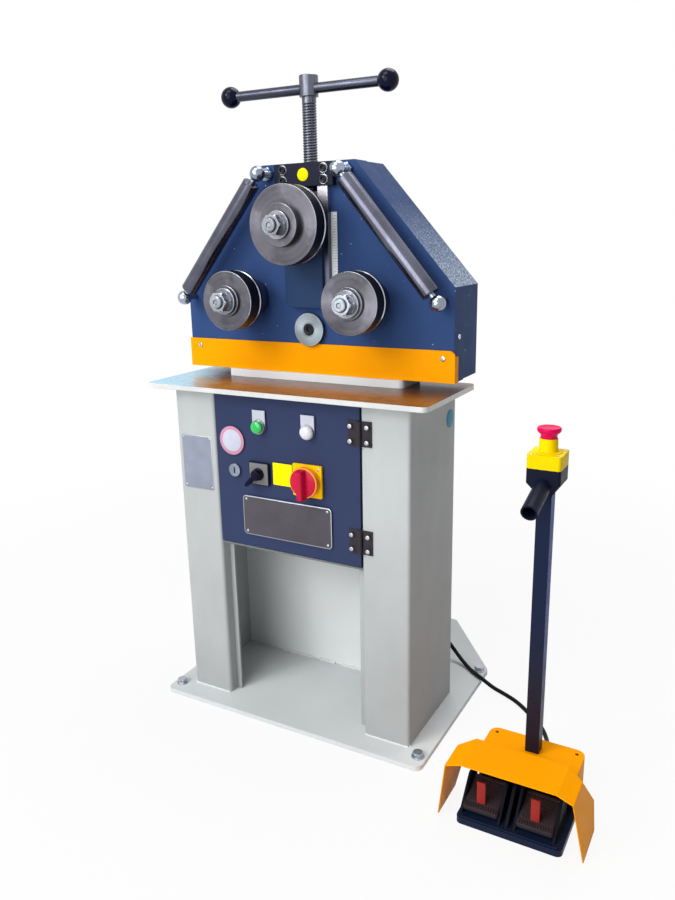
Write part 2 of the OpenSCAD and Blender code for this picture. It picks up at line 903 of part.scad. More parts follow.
// Gearbox and motor on the rear cover, on the drive pinion's axis
module gearbox() {
    flange_y = cover_back_y + motor_flange_t;
    color("slategray")
    difference() {
        y_turned(0, pinion_z, [
            [0, cover_back_y], [motor_flange_d / 2, cover_back_y], [motor_flange_d / 2, flange_y],
            [gearbox_d / 2, flange_y], [gearbox_d / 2, cover_back_y + gearbox_l],
            [0, cover_back_y + gearbox_l]
        ]);
        y_rod(0, pinion_z, cover_back_y - over, cover_back_y + motor_shaft_in + gap, shaft_d + 2 * fit);
    }
}

module motor() {
    front = cover_back_y + gearbox_l;
    back = front + motor_l;
    core_d = motor_d - 2 * fin_h;
    box_z = pinion_z + motor_d / 2 - fin_h;
    color("slategray") {
        y_rod(0, pinion_z, front, back, core_d);
        for (i = [0:fin_count - 1])
            translate([0, 0, pinion_z]) rotate([0, (i + 1 / 2) * 360 / fin_count, 0])
                translate([-fin_t / 2, front + fin_h, 0]) cube([fin_t, motor_l - 2 * fin_h, motor_d / 2]);
        y_ring(0, pinion_z, back, back + fan_cover_l, motor_d, motor_d - 2 * fan_cover_wall);
        y_rod(0, pinion_z, back, back + fan_cover_wall, motor_d);
        y_rod(0, pinion_z, back + fan_cover_l - fan_cover_wall, back + fan_cover_l, motor_d);
        translate([-terminal_box_w / 2, front + fin_h, box_z])
            cube([terminal_box_w, terminal_box_w, terminal_box_h]);
    }
}

// Side support rollers: ball studs on the face, rods between them and free-turning tubes
module support_frame() {
    translate([support_top_x, support_y, support_top_z]) rotate([0, support_tilt, 0]) children();
}

module ball_stud(x, z) {
    y_rod(x, z, support_y, head_front_y, stud_rod_d);
    translate([x, support_y, z]) rotate([-90, 0, 0]) sphere(d = support_ball_d);
}

module support_post() {
    seat = support_ball_d / 2 - rod_seat;
    difference() {
        union() {
            ball_stud(support_top_x, support_top_z);
            ball_stud(support_low_x, support_low_z);
        }
        support_frame() translate([0, 0, seat])
            cylinder(h = support_l - 2 * seat, d = support_rod_d + 2 * fit);
    }
    support_frame() translate([0, 0, seat]) cylinder(h = support_l - 2 * seat, d = support_rod_d);
}

module support_posts() { color("silver") both_sides() support_post(); }

module support_roller() {
    color("dimgray") support_frame() translate([0, 0, roller_top_gap])
    difference() {
        l = support_l - roller_top_gap - roller_low_gap;
        cylinder(h = l, d = support_d);
        translate([0, 0, -over]) cylinder(h = l + 2 * over, d = support_rod_d + 4 * fit);
    }
}

module left_support_roller() { mirror([1, 0, 0]) support_roller(); }

module right_support_roller() { support_roller(); }

// Slide with its apron, bearings and the plate that holds the spindle's collar
module slide_block() {
    half = slide_w / 2 - gap;
    bottom = upper_z - slide_down;
    pocket_z = block_top_z - collar_h - gap;
    color("slateblue")
    difference() {
        union() {
            translate([-half, block_front_y, bottom])
                cube([2 * half, block_back_y - block_front_y, slide_up + slide_down]);
            translate([-neck_half, apron_back_y, bottom])
                cube([2 * neck_half, block_front_y - apron_back_y + over, slide_up + slide_down]);
        }
        y_rod(0, upper_z, apron_back_y - over, block_back_y + over, shaft_d + 2 * gap);
        y_rod(0, upper_z, block_front_y + pocket_wall, block_back_y + over, bearing_d + 2 * fit);
        translate([0, spindle_y, pocket_z]) cylinder(h = collar_h + gap + over, d = collar_d + 2 * gap);
    }
}

module slide_apron() {
    color("slateblue")
    difference() {
        front_plate(
            rectangle(-slide_w / 2, upper_z - apron_down, slide_w / 2, upper_z + apron_up),
            apron_back_y, apron_t);
        y_rod(0, upper_z, apron_front_y - over, apron_back_y + over, shaft_d + 2 * gap);
    }
}

module slide_bearings() {
    front = block_front_y + pocket_wall;
    color("silver") {
        y_ring(0, upper_z, front, front + bearing_w, bearing_d, shaft_d + 2 * fit);
        y_ring(0, upper_z, block_back_y - bearing_w, block_back_y, bearing_d, shaft_d + 2 * fit);
    }
}

module spindle_retainer() {
    color("gray")
    difference() {
        translate([-neck_half, apron_back_y, block_top_z])
            cube([2 * neck_half, block_back_y - apron_back_y, retainer_t]);
        translate([0, spindle_y, block_top_z - over])
            cylinder(h = retainer_t + 2 * over, d = spindle_d + 2 * gap);
    }
}

// Spindle with ring grooves along its thread, its collar and its hub
function thread_points(z0, z1) =
    let (
        turns = floor((z1 - z0) / spindle_pitch),
        r = spindle_d / 2,
        root = r - thread_depth,
        step = spindle_pitch / 4
    )
    [for (i = [0:turns - 1]) let (z = z0 + i * spindle_pitch)
        each [[r, z + step / 2], [r, z + step], [root, z + 2 * step], [root, z + 3 * step]]];

module spindle() {
    collar_z = block_top_z - collar_h;
    thread_z = block_top_z + retainer_t + gap;
    body = concat(
        [[0, collar_z], [collar_d / 2, collar_z], [collar_d / 2, block_top_z - gap],
         [spindle_d / 2, block_top_z - gap]],
        thread_points(thread_z, thread_top_z),
        [[spindle_d / 2, thread_top_z], [neck_d / 2, thread_top_z], [neck_d / 2, hub_z],
         [hub_d / 2, hub_z], [hub_d / 2, hub_z + hub_h], [0, hub_z + hub_h]]
    );
    color("gray") translate([0, spindle_y, 0])
    difference() {
        rotate_extrude() polygon(body);
        translate([0, 0, bar_z]) rotate([0, 90, bar_angle])
            cylinder(h = 2 * hub_d, d = bar_d + 2 * fit, center = true);
    }
}

module bar_frame() {
    translate([0, spindle_y, bar_z]) rotate([0, 0, bar_angle]) translate([-bar_shift, 0, 0]) children();
}

module turning_bar() {
    color("gray") bar_frame() rotate([0, 90, 0]) cylinder(h = bar_len, d = bar_d, center = true);
}

module ball_knobs() {
    color("black") bar_frame() rotate([0, 90, 0])
    for (side = [-1, 1])
        difference() {
            translate([0, 0, side * bar_len / 2]) sphere(d = knob_d);
            cylinder(h = bar_len + 2 * fit, d = bar_d + 2 * fit, center = true);
        }
}

// Rolls: turned discs keyed on shafts and held by a spacer, a washer and a nut
module roll_shaft(x, z, spacer_t, shoulder_end, end_y) {
    tip_y = roll_face_y - spacer_t - roll_washer_t - roll_nut_h - stud_tip;
    color("darkgray") {
        y_turned(x, z, [
            [0, tip_y], [stud_d / 2, tip_y], [stud_d / 2, roll_face_y], [shaft_d / 2, roll_face_y],
            [shaft_d / 2, roll_back_y], [shoulder_d / 2, roll_back_y], [shoulder_d / 2, shoulder_end],
            [shaft_d / 2, shoulder_end], [shaft_d / 2, end_y], [0, end_y]
        ]);
        translate([x - key_w / 2, roll_face_y + key_rise, z])
            cube([key_w, roll_disc_w, shaft_d / 2 + key_rise]);
    }
}

module roll(x, z, d) {
    r = d / 2;
    groove_y = roll_face_y + roll_disc_w;
    flange_y = groove_y + roll_groove_w;
    bore = shaft_d / 2 + fit;
    c = roll_chamfer;
    color("gray")
    difference() {
        y_turned(x, z, [
            [bore, roll_face_y], [r - c, roll_face_y], [r, roll_face_y + c], [r, groove_y - c],
            [r - c, groove_y], [r - roll_groove_h, groove_y], [r - roll_groove_h, flange_y],
            [r - c, flange_y], [r, flange_y + c],
            [r, roll_back_y - c], [r - c, roll_back_y], [bore, roll_back_y]
        ]);
        translate([x - key_w / 2 - fit, roll_face_y - over, z])
            cube([key_w + 2 * fit, roll_w + 2 * over, shaft_d / 2 + key_rise + fit]);
    }
}

module roll_nut(x, z, spacer_d, spacer_t) {
    washer_y = roll_face_y - spacer_t;
    nut_y = washer_y - roll_washer_t;
    bore = stud_d + 2 * fit;
    color("silver") {
        y_ring(x, z, washer_y, roll_face_y, spacer_d, bore);
        y_ring(x, z, nut_y, washer_y, roll_washer_d, bore);
        y_nut(x, z, nut_y - roll_nut_h, nut_y, roll_nut_af, bore);
    }
}

module lower_shaft(side) {
    roll_shaft(side * roll_x, lower_z, lower_spacer_t, face_back_y - bearing_w - gap,
               cover_back_y - bearing_end - gap);
}

module upper_shaft() { roll_shaft(0, upper_z, upper_spacer_t, apron_front_y - gap, block_back_y); }

module upper_roll() { roll(0, upper_z, upper_roll_d); }

module upper_roll_nut() { roll_nut(0, upper_z, upper_spacer_d, upper_spacer_t); }

module left_shaft() { lower_shaft(-1); }

module left_roll() { roll(-roll_x, lower_z, lower_roll_d); }

module left_roll_nut() { roll_nut(-roll_x, lower_z, lower_spacer_d, lower_spacer_t); }

module right_shaft() { lower_shaft(1); }

module right_roll() { roll(roll_x, lower_z, lower_roll_d); }

module right_roll_nut() { roll_nut(roll_x, lower_z, lower_spacer_d, lower_spacer_t); }

// Gears: involute teeth thinned a little on each flank
function involute(angle) = tan(angle) * 180 / PI - angle;

// Half of a tooth's angle at one radius
function tooth_half(teeth, radius) =
    let (
        pitch_r = gear_module * teeth / 2,
        base_circle = pitch_r * cos(pressure_angle),
        angle = radius <= base_circle ? 0 : acos(base_circle / radius)
    )
    90 / teeth - flank_play / pitch_r * 180 / PI + involute(pressure_angle) - involute(angle);

function gear_outline(teeth, first_tooth) =
    let (
        pitch_r = gear_module * teeth / 2,
        root_r = pitch_r - dedendum_share * gear_module,
        tip_r = pitch_r + addendum_share * gear_module,
        up = [root_r, pitch_r - gear_module / 2, pitch_r, tip_r],
        down = [tip_r, pitch_r, pitch_r - gear_module / 2, root_r]
    )
    [for (k = [0:teeth - 1]) let (middle = first_tooth + k * 360 / teeth)
        each concat(
            [for (r = up) let (a = middle - tooth_half(teeth, r)) r * [cos(a), sin(a)]],
            [for (r = down) let (a = middle + tooth_half(teeth, r)) r * [cos(a), sin(a)]]
        )];

// Direction from the drive pinion to the gear on one side
function mesh_angle(side) = atan2(lower_z - pinion_z, side * roll_x);

// First tooth of a gear, set so that the gear meshes with the pinion
function gear_phase(side) =
    let (lead = mesh_angle(-1) - mesh_angle(side))
    mesh_angle(side) + 180 + 180 / gear_teeth - lead * pinion_teeth / gear_teeth;

module shaft_gear(side) {
    color("dimgray")
    difference() {
        translate([side * roll_x, 0, lower_z])
            front_plate(gear_outline(gear_teeth, gear_phase(side)), gear_front_y + gear_w, gear_w);
        y_rod(side * roll_x, lower_z, gear_front_y - over, gear_front_y + gear_w + over, shaft_d + 2 * fit);
    }
}

module left_gear() { shaft_gear(-1); }

module right_gear() { shaft_gear(1); }

module drive_pinion() {
    front = head_front_y - gap;
    color("dimgray")
    difference() {
        union() {
            y_rod(0, pinion_z, front, cover_back_y + motor_shaft_in, shaft_d);
            translate([0, 0, pinion_z])
                front_plate(gear_outline(pinion_teeth, mesh_angle(-1)), gear_front_y + gear_w, gear_w);
        }
        y_rod(0, pinion_z, front - over, front + disc_screw_l, disc_screw_d);
    }
}

module pinion_disc() {
    back = head_front_y - gap;
    disc_back = head_front_y - strip_t - 2 * gap;
    disc_front = disc_back - disc_t;
    head_y = disc_front + disc_screw_head_h;
    color("lightslategray") {
        difference() {
            y_turned(0, pinion_z, [
                [0, disc_front], [disc_d / 2, disc_front], [disc_d / 2, disc_back],
                [disc_shoulder_d / 2, disc_back], [disc_shoulder_d / 2, back], [0, back]
            ]);
            y_rod(0, pinion_z, disc_front - over, back + over, disc_screw_d);
            y_rod(0, pinion_z, disc_front - over, head_y, disc_screw_head_d + 2 * fit);
        }
        difference() {
            union() {
                y_rod(0, pinion_z, disc_front, head_y, disc_screw_head_d);
                y_rod(0, pinion_z, head_y, back + disc_screw_l - over, disc_screw_d - 2 * fit);
            }
            translate([0, disc_front - over, pinion_z]) rotate([-90, 0, 0])
                cylinder(h = disc_screw_head_h * socket_share + over,
                         d = disc_screw_head_d * socket_share, $fn = 6);
        }
    }
}

// Door hinges
hinge_rows = [door_z + hinge_low, door_top_z - hinge_high - hinge_h];
knuckle_h = hinge_h / 3;

module knuckle(z, h) {
    translate([hinge_x, hinge_y, z]) difference() {
        cylinder(h = h, d = hinge_barrel_d);
        translate([0, 0, -over]) cylinder(h = h + 2 * over, d = hinge_pin_d + 2 * fit);
    }
}

module hinge_leaf(z) {
    clear = hinge_barrel_d / 2 + hinge_lift;
    translate([hinge_x + clear, col_front_y - hinge_t, z]) cube([hinge_leaf_w - clear, hinge_t, hinge_h]);
}

module hinge_strap(z, h) {
    translate([hinge_x + hinge_pin_d / 2, col_front_y - hinge_t, z]) cube([hinge_leaf_w / 2, hinge_t, h]);
}

module hinge_leaves() {
    color("dimgray")
    for (z = hinge_rows) {
        hinge_leaf(z);
        for (low = [z, z + 2 * knuckle_h]) {
            knuckle(low, knuckle_h);
            hinge_strap(low, knuckle_h);
        }
        translate([hinge_x, hinge_y, z]) cylinder(h = hinge_h, d = hinge_pin_d);
    }
}

module door_hinge_leaves() {
    color("dimgray")
    for (z = hinge_rows) {
        h = knuckle_h - 2 * gap;
        knuckle(z + knuckle_h + gap, h);
        translate([2 * hinge_x, 0, 0]) mirror([1, 0, 0]) {
            hinge_leaf(z);
            hinge_strap(z + knuckle_h + gap, h);
        }
    }
}

// Door with folded edges, holes for its controls, plates and fittings
module door_panel() {
    half = door_w / 2;
    inner = half - door_t;
    color("midnightblue")
    difference() {
        translate([-half, col_front_y, door_z]) cube([door_w, door_fold, door_h]);
        translate([-inner, col_front_y + door_t, door_z + door_t])
            cube([2 * inner, door_fold, door_h - 2 * door_t]);
        for (side = [-1, 1])
            y_rod(side * lamp_x, lamp_z, col_front_y - over, col_front_y + door_t + over,
                  control_hole_d + 2 * fit);
        y_rod(switch_x, switch_z, col_front_y - over, col_front_y + door_t + over, control_stem_d + 2 * gap);
        y_rod(-selector_x, switch_z, col_front_y - over, col_front_y + door_t + over,
              control_stem_d + 2 * gap);
        y_rod(-lock_x, switch_z, col_front_y - over, col_front_y + door_t + over, lock_body_d + 2 * gap);
    }
}

module square_plate(x, z, w, t, bore) {
    difference() {
        front_plate(rounded(rectangle(x - w / 2, z - w / 2, x + w / 2, z + w / 2), t), col_front_y, t);
        y_rod(x, z, col_front_y - t - over, col_front_y + over, bore);
    }
}

module door_plates() {
    low = door_z + name_plate_z;
    name_outline = rectangle(-name_plate_w / 2, low, name_plate_w / 2, low + name_plate_h);
    color("gold") square_plate(switch_x, switch_z, switch_plate_w, plate_t, control_stem_d + 2 * gap);
    color("gray") square_plate(-selector_x, switch_z, selector_plate_w, plate_t, control_stem_d + 2 * gap);
    color("dimgray") front_plate(rounded(name_outline, name_plate_r), col_front_y, name_plate_t);
}

// Bodies behind the door, label plates, the button's bezel and the lamp
module control_body(x, z) {
    translate([x - control_body_w / 2, col_front_y + door_t, z - control_body_w / 2]) difference() {
        cube([control_body_w, control_body_d, control_body_w]);
        translate([control_body_w / 2, -over, control_body_w / 2]) rotate([-90, 0, 0])
            cylinder(h = control_body_d / 2, d = control_hole_d + 2 * fit);
    }
}

module label_plate(x) {
    low = lamp_z - (label_h - label_up);
    difference() {
        front_plate(
            rounded(rectangle(x - label_w / 2, low, x + label_w / 2, low + label_h), label_t),
            col_front_y, label_t);
        y_rod(x, lamp_z, col_front_y - label_t - over, col_front_y + over, control_hole_d + 2 * fit);
    }
}

module door_fittings() {
    face = col_front_y - label_t;
    tail = col_front_y + door_t + control_body_d / 2 - over;
    color("black") {
        for (x = [switch_x, -selector_x]) control_body(x, switch_z);
        for (x = [-lamp_x, lamp_x]) control_body(x, lamp_z);
        y_ring(-lamp_x, lamp_z, face - button_bezel_h, face, button_d, button_cap_d + 2 * gap);
    }
    color("lightgray") for (x = [-lamp_x, lamp_x]) label_plate(x);
    color("white") {
        y_turned(lamp_x, lamp_z, [
            [0, face - lamp_lens_h], [button_d / 3, face - lamp_lens_h],
            [button_d / 2, face - lamp_lens_h / 2],
            [button_d / 2, face], [control_hole_d / 2, face], [control_hole_d / 2, tail], [0, tail]
        ]);
    }
}

module switch_handle() {
    back = col_front_y - plate_t - gap;
    disc_front = back - handle_disc_h;
    color("crimson") {
        y_rod(switch_x, switch_z, disc_front, back, switch_handle_d);
        y_rod(switch_x, switch_z, disc_front, col_front_y + door_t + control_body_d / 4, control_stem_d);
        translate([switch_x - handle_grip_w / 2, disc_front - handle_grip_h, switch_z - handle_grip_l / 2])
            cube([handle_grip_w, handle_grip_h + over, handle_grip_l]);
    }
}

module selector_lever() {
    back = col_front_y - plate_t - gap;
    hub_front = back - lever_hub_h;
    color("black") {
        y_rod(-selector_x, switch_z, hub_front, back, lever_hub_d);
        y_rod(-selector_x, switch_z, hub_front, col_front_y + door_t + control_body_d / 4, control_stem_d);
        translate([-selector_x, hub_front - lever_w / 2, switch_z]) rotate([0, -lever_angle, 0])
            translate([-lever_w / 2, 0, -lever_w / 2]) cube([lever_w, lever_w, lever_l + lever_w / 2]);
    }
}

module start_button() {
    front = col_front_y - label_t - button_bezel_h - button_cap_h / 2;
    back = col_front_y + door_t + control_body_d / 4;
    color("limegreen")
        y_turned(-lamp_x, lamp_z, [
            [0, front], [button_cap_d / 3, front], [button_cap_d / 2, front + button_cap_h / 2],
            [button_cap_d / 2, col_front_y - label_t], [button_cap_d / 2, col_front_y - label_t + gap],
            [control_stem_d / 2, col_front_y - label_t + gap], [control_stem_d / 2, back], [0, back]
        ]);
}

module lock_barrel() {
    cam_y = col_front_y + leg_lip + cam_t;
    color("silver") {
        y_rod(-lock_x, switch_z, col_front_y - lock_head_h, col_front_y - gap, lock_d);
        y_rod(-lock_x, switch_z, col_front_y - lock_head_h, cam_y + cam_t, lock_body_d);
        translate([-lock_x - cam_w / 2, cam_y, switch_z - cam_w / 2]) cube([cam_w, cam_t, cam_l]);
    }
}

// Pedal station: base with a switch body, two pedals, hood, pole and stop button
module at_station() { translate([station_x, 0, 0]) children(); }

// Side wall of a pedal, low at the front and high over the hinge pin
module cheek(x, t) {
    rear = pedal_hinge_y + cheek_front;
    front = station_y + cheek_front;
    translate([x - t / 2, 0, 0]) rotate([90, 0, 90]) linear_extrude(t)
        polygon([
            [front, station_t - over], [rear, station_t - over], [rear, cheek_h],
            [front + cheek_rise, cheek_h], [front, station_t + over]
        ]);
}

module pedal_base() {
    half = station_w / 2;
    outline = rounded(rectangle(-half, station_y, half, station_back_y), station_r);
    color("darkslategray") at_station()
    difference() {
        union() {
            linear_extrude(station_t) polygon(outline);
            translate([-switch_body_w / 2, hood_box_y + hood_t + gap, station_t - over])
                cube([switch_body_w, hood_box_d - 2 * hood_t - 2 * gap, switch_body_h + over]);
            cheek(pedal_shift, divider_w);
            for (pedal = [-1, 1], end = [-1, 1])
                cheek(pedal_shift + pedal * pedal_pitch / 2 + end * (pedal_w + cheek_t) / 2, cheek_t);
        }
        translate([-half, pedal_hinge_y, pedal_pin_h]) rotate([0, 90, 0])
            cylinder(h = station_w, d = pedal_pin_d + 2 * fit);
    }
}

module pedal(side) {
    half = pedal_w / 2 - gap;
    x = station_x + pedal_shift + side * pedal_pitch / 2;
    color("dimgray") translate([x, pedal_hinge_y, pedal_pin_h]) {
        rotate([pedal_slope, 0, 0])
            translate([-half, -pedal_l, -pedal_t / 2]) cube([2 * half, pedal_l, pedal_t]);
        rotate([0, 90, 0]) cylinder(h = 2 * (half - over), d = pedal_pin_d + cheek_t, center = true);
        rotate([0, 90, 0]) cylinder(h = 2 * (half + pedal_pin_end), d = pedal_pin_d, center = true);
    }
}

module left_pedal() { pedal(-1); }

module right_pedal() { pedal(1); }

// Flat sheet between corner points, with rounded edges
module sheet(points) {
    hull() for (p = points) translate(p) sphere(d = hood_t, $fn = 8);
}

module hood_side() {
    top_z = hood_h - hood_t / 2;
    foot_z = hood_t;
    top_front = [hood_top_w / 2, station_y - canopy_out, top_z];
    top_back = [hood_top_w / 2, station_y + canopy_back, top_z];
    fold_front_end = [hood_fold_w / 2, station_y - fold_out, hood_fold_h];
    fold_back_end = [hood_fold_w / 2, station_y + fold_back, hood_fold_h];
    foot_front = [hood_foot_w / 2, station_y + wing_tip_back, foot_z];
    foot_back = [hood_foot_w / 2, station_y + wing_heel_back, foot_z];
    rear_w = hood_fold_w + (hood_foot_w - hood_fold_w) * (1 - wing_back_h / hood_fold_h);
    wing_rear = [rear_w / 2, station_y + wing_back, wing_back_h];
    sheet([top_front, top_back, fold_back_end, fold_front_end]);
    sheet([fold_front_end, fold_back_end, wing_rear, foot_back, foot_front]);
}

// Outline of the hood's box, round at its rear corners
module box_outline(half, front_y, back_y, r) {
    polygon(rounded_each(
        rectangle(-half, front_y, half, back_y), [hood_box_front_r, hood_box_front_r, r, r]));
}

module hood_box() {
    half = hood_box_w / 2;
    wall_h = hood_box_h - station_t;
    difference() {
        translate([0, 0, station_t]) linear_extrude(wall_h)
            box_outline(half, hood_box_y, station_back_y, hood_box_r);
        translate([0, 0, station_t - over]) linear_extrude(wall_h - hood_t + over)
            box_outline(half - hood_t, hood_box_y - over, station_back_y - hood_t, hood_box_r - hood_t);
        for (side = [-1, 1])
            translate([side * hood_hole_x, station_back_y - hood_hole_back, station_t])
                cylinder(h = hood_box_h, d = hood_hole_d);
        translate([0, station_back_y - 2 * hood_t, station_gland_z]) rotate([-90, 0, 0])
            cylinder(h = 3 * hood_t, d = cable_d + 2 * gap);
    }
}

module pedal_hood() {
    top_z = hood_h - hood_t / 2;
    box_z = hood_box_h - hood_t / 2;
    half = hood_top_w / 2;
    front_y = station_y - canopy_out;
    back_y = station_y + canopy_back;
    color("orange") at_station() {
        both_sides() hood_side();
        sheet([[-half, front_y, top_z], [half, front_y, top_z], [half, back_y, top_z],
               [-half, back_y, top_z]]);
        sheet([[-half, back_y, top_z], [half, back_y, top_z], [half, hood_box_y + hood_t, box_z],
               [-half, hood_box_y + hood_t, box_z]]);
        hood_box();
    }
}

module pedal_pole() {
    inner = pole_w - 2 * pole_wall;
    color("darkslategray") translate([station_x, pole_y, hood_box_h])
    difference() {
        translate([-pole_w / 2, -pole_w / 2, 0]) cube([pole_w, pole_w, pole_top - hood_box_h]);
        translate([-inner / 2, -inner / 2, -over]) cube([inner, inner, pole_top - hood_box_h + 2 * over]);
    }
}

module stop_outline(z, h) {
    half = stop_box_w / 2;
    translate([0, 0, z]) linear_extrude(h) polygon(rounded(rectangle(-half, -half, half, half), stop_box_r));
}

module holder_tube(d, l) {
    translate([0, -holder_back, stop_box_z + holder_rise]) rotate([90 + holder_slope, 0, 0])
        cylinder(h = l, d = d);
}

module stop_box() {
    bore = holder_d - 2 * holder_wall;
    color("black") translate([station_x, pole_y, 0])
    difference() {
        union() {
            stop_outline(stop_box_z + stop_taper_h, stop_box_h);
            hull() {
                stop_outline(stop_box_z + stop_taper_h, over);
                translate([-pole_w / 2, -pole_w / 2, stop_box_z]) cube([pole_w, pole_w, over]);
            }
            holder_tube(holder_d, holder_l);
        }
        translate([-pole_w / 2, -pole_w / 2, hood_box_h]) cube([pole_w, pole_w, stop_box_z - hood_box_h]);
        intersection() {
            holder_tube(bore, holder_l + over);
            translate([-holder_d, -pole_w / 2 - 2 * holder_l, 0])
                cube([2 * holder_d, 2 * holder_l - holder_wall, stop_cover_z]);
        }
    }
}

module stop_cover() {
    color("gold") translate([station_x, pole_y, 0])
    difference() {
        union() {
            stop_outline(stop_cover_z, stop_cover_h);
            translate([0, 0, stop_top_z - over]) cylinder(h = stop_neck_h + over, d = stop_neck_d);
        }
        translate([0, 0, stop_cover_z + stop_cover_h / 2])
            cylinder(h = stop_cover_h + stop_neck_h, d = stop_stem_d + 2 * fit);
    }
}

module stop_button() {
    skirt_z = stop_neck_z - stop_skirt_lap;
    roof_z = stop_neck_z + stop_travel + over;
    edge_z = skirt_z + stop_skirt_h;
    top_z = edge_z + stop_cap_h;
    skirt_in = stop_neck_d / 2 + gap;
    color("crimson") translate([station_x, pole_y, 0])
        rotate_extrude() polygon([
            [0, stop_top_z], [stop_stem_d / 2, stop_top_z], [stop_stem_d / 2, roof_z], [skirt_in, roof_z],
            [skirt_in, skirt_z], [stop_skirt_d / 2, skirt_z], [stop_skirt_d / 2, edge_z - stop_cap_h / 3],
            [stop_d / 2, edge_z], [stop_d / 2, edge_z + stop_cap_h / 3], [stop_d / 3, top_z], [0, top_z]
        ]);
}

// Cable glands on the column's back panel and on the hood's box, and the cable between them
module gland(y0, y1, x, z) {
    y_ring(x, z, y0, y0 + (y1 - y0) / 2, gland_d, cable_d + 2 * fit);
    difference() {
        y_turned(x, z, [[0, y0 + (y1 - y0) / 2], [gland_d / 2, y0 + (y1 - y0) / 2], [cable_d, y1], [0, y1]]);
        y_rod(x, z, y0, y1 + over, cable_d + 2 * fit);
    }
}

module cable_glands() {
    color("dimgray") {
        gland(col_back_y, col_back_y + gland_l, gland_x, gland_z);
        gland(station_back_y, station_back_y + station_gland_l, station_x, station_gland_z);
    }
}

// Direction of the route at one of its points
function route_way(route, i) =
    unit(route[min(i + 1, len(route) - 1)] - route[max(i - 1, 0)]);

// Tube swept along a route as one closed surface
module route_tube(route, d, sides) {
    n = len(route);
    rings = [for (i = [0:n - 1])
        let (
            way = route_way(route, i),
            across = unit(cross(way, [0, 0, 1])),
            up = cross(across, way)
        )
        for (k = [0:sides - 1])
            let (a = 360 * k / sides)
            route[i] + d / 2 * (cos(a) * across + sin(a) * up)];
    walls = [for (i = [0:n - 2], k = [0:sides - 1])
        let (p = i * sides + k, q = i * sides + (k + 1) % sides)
        each [[p, q, q + sides], [p, q + sides, p + sides]]];
    start = [[for (k = [0:sides - 1]) sides - 1 - k]];
    end = [[for (k = [0:sides - 1]) (n - 1) * sides + k]];
    polyhedron(rings, concat(walls, start, end));
}

module pedal_cable() { color("black") route_tube(cable_route, cable_d, cable_sides); }

base_plate();
fixing_bolts();
left_leg();
right_leg();
back_panel();
electrics_tray();
table_plate();
pedestal_plate();
head_casing();
head_cover();
front_strip();
slide_rails();
cap_block();
spindle_nut();
bearing_caps();
shaft_bearings();
gearbox();
motor();
support_posts();
hinge_leaves();
pedal_base();
pedal_hood();
pedal_pole();
stop_box();
stop_cover();
cable_glands();
pedal_cable();
slide_block();
slide_apron();
slide_bearings();
spindle_retainer();
spindle();
turning_bar();
ball_knobs();
upper_shaft();
upper_roll();
upper_roll_nut();
left_shaft();
left_roll();
left_roll_nut();
left_gear();
right_shaft();
right_roll();
right_roll_nut();
right_gear();
drive_pinion();
pinion_disc();
left_support_roller();
right_support_roller();
door_panel();
door_hinge_leaves();
door_plates();
door_fittings();
switch_handle();
selector_lever();
start_button();
lock_barrel();
left_pedal();
right_pedal();
stop_button();
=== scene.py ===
"""Looks of the angle roll bender: camera, light, materials, finer pieces and small trim.

Lengths are millimetres, as in the part's source, and become metres where a mesh or the camera is
made. Lamps, the floor and heights inside materials are in metres. X runs to the right, Y to the
back and Z up.
"""

import math

import bmesh
import bpy
from mathutils import Matrix, Vector


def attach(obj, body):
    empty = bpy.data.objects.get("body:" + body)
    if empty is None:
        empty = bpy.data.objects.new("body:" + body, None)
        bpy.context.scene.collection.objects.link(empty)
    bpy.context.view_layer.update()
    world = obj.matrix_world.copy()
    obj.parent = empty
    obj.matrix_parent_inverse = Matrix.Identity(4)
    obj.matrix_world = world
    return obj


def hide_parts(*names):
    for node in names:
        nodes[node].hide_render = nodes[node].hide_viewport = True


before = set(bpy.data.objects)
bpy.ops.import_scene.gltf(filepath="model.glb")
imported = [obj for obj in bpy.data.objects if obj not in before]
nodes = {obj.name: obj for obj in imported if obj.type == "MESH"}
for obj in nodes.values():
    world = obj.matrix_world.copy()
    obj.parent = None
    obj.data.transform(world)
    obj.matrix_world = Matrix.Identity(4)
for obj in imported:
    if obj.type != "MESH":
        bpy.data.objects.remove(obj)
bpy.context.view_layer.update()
scene = bpy.context.scene

MM = 0.001
FRONT = (0, -1, 0)
BACK = (0, 1, 0)
RIGHT = (1, 0, 0)
LEFT = (-1, 0, 0)
UP = (0, 0, 1)

# Places that the source names
ROLLS = {"upper": (0, 1026, 74), "left": (-137, 884, 58.5), "right": (137, 884, 58.5)}
ROLL_BACK_Y = -193
ROLL_FRONT_Y = -235
ROLL_BORE_R = 15.1
FACE_Y = -140
STRIP_Y = -143
COLUMN_Y = -255
DOOR_Y = COLUMN_Y - 3
DOOR_BACK_Y = -252
HINGE_Y = -263.5
HINGE_FEET = (409, 624)
NICHE_BACK_Y = -37
PANEL_Y = -33
COVER_Y = -16
BASE_TOP_Z = 10
ANCHORS = [(side * 296, y) for side in (-1, 1) for y in (-272, 90)]
CAP_Y = -155.5
CAP_Z = 1119
CAP_SCREWS = [(side * 45.5, CAP_Z + row * 10) for side in (-1, 1) for row in (-1, 1)]
STUDS = [(side * x, z) for side in (-1, 1) for x, z in ((88.6, 1124), (289, 884))]
SUPPORT_Y = -179
SPINDLE_Y = -124
DISC_Y = -143.6
DISC_Z = 823
SWITCH_Z = 543
SWITCH_X = 54
SELECTOR_X = -60
LOCK_X = -121.5
LAMP_Z = 641
LAMP_X = 56.5
STATION_X = 514
POLE_Y = -241.5
STATION_FRONT_Y = -397
STATION_TOP_Z = 13.5
PEDAL_X = {"left": 460.7, "right": 556.3}
PEDAL_PIVOT = (-316, 42)
PEDAL_SLOPE = 14.5
STOP_TOP_Z = 650

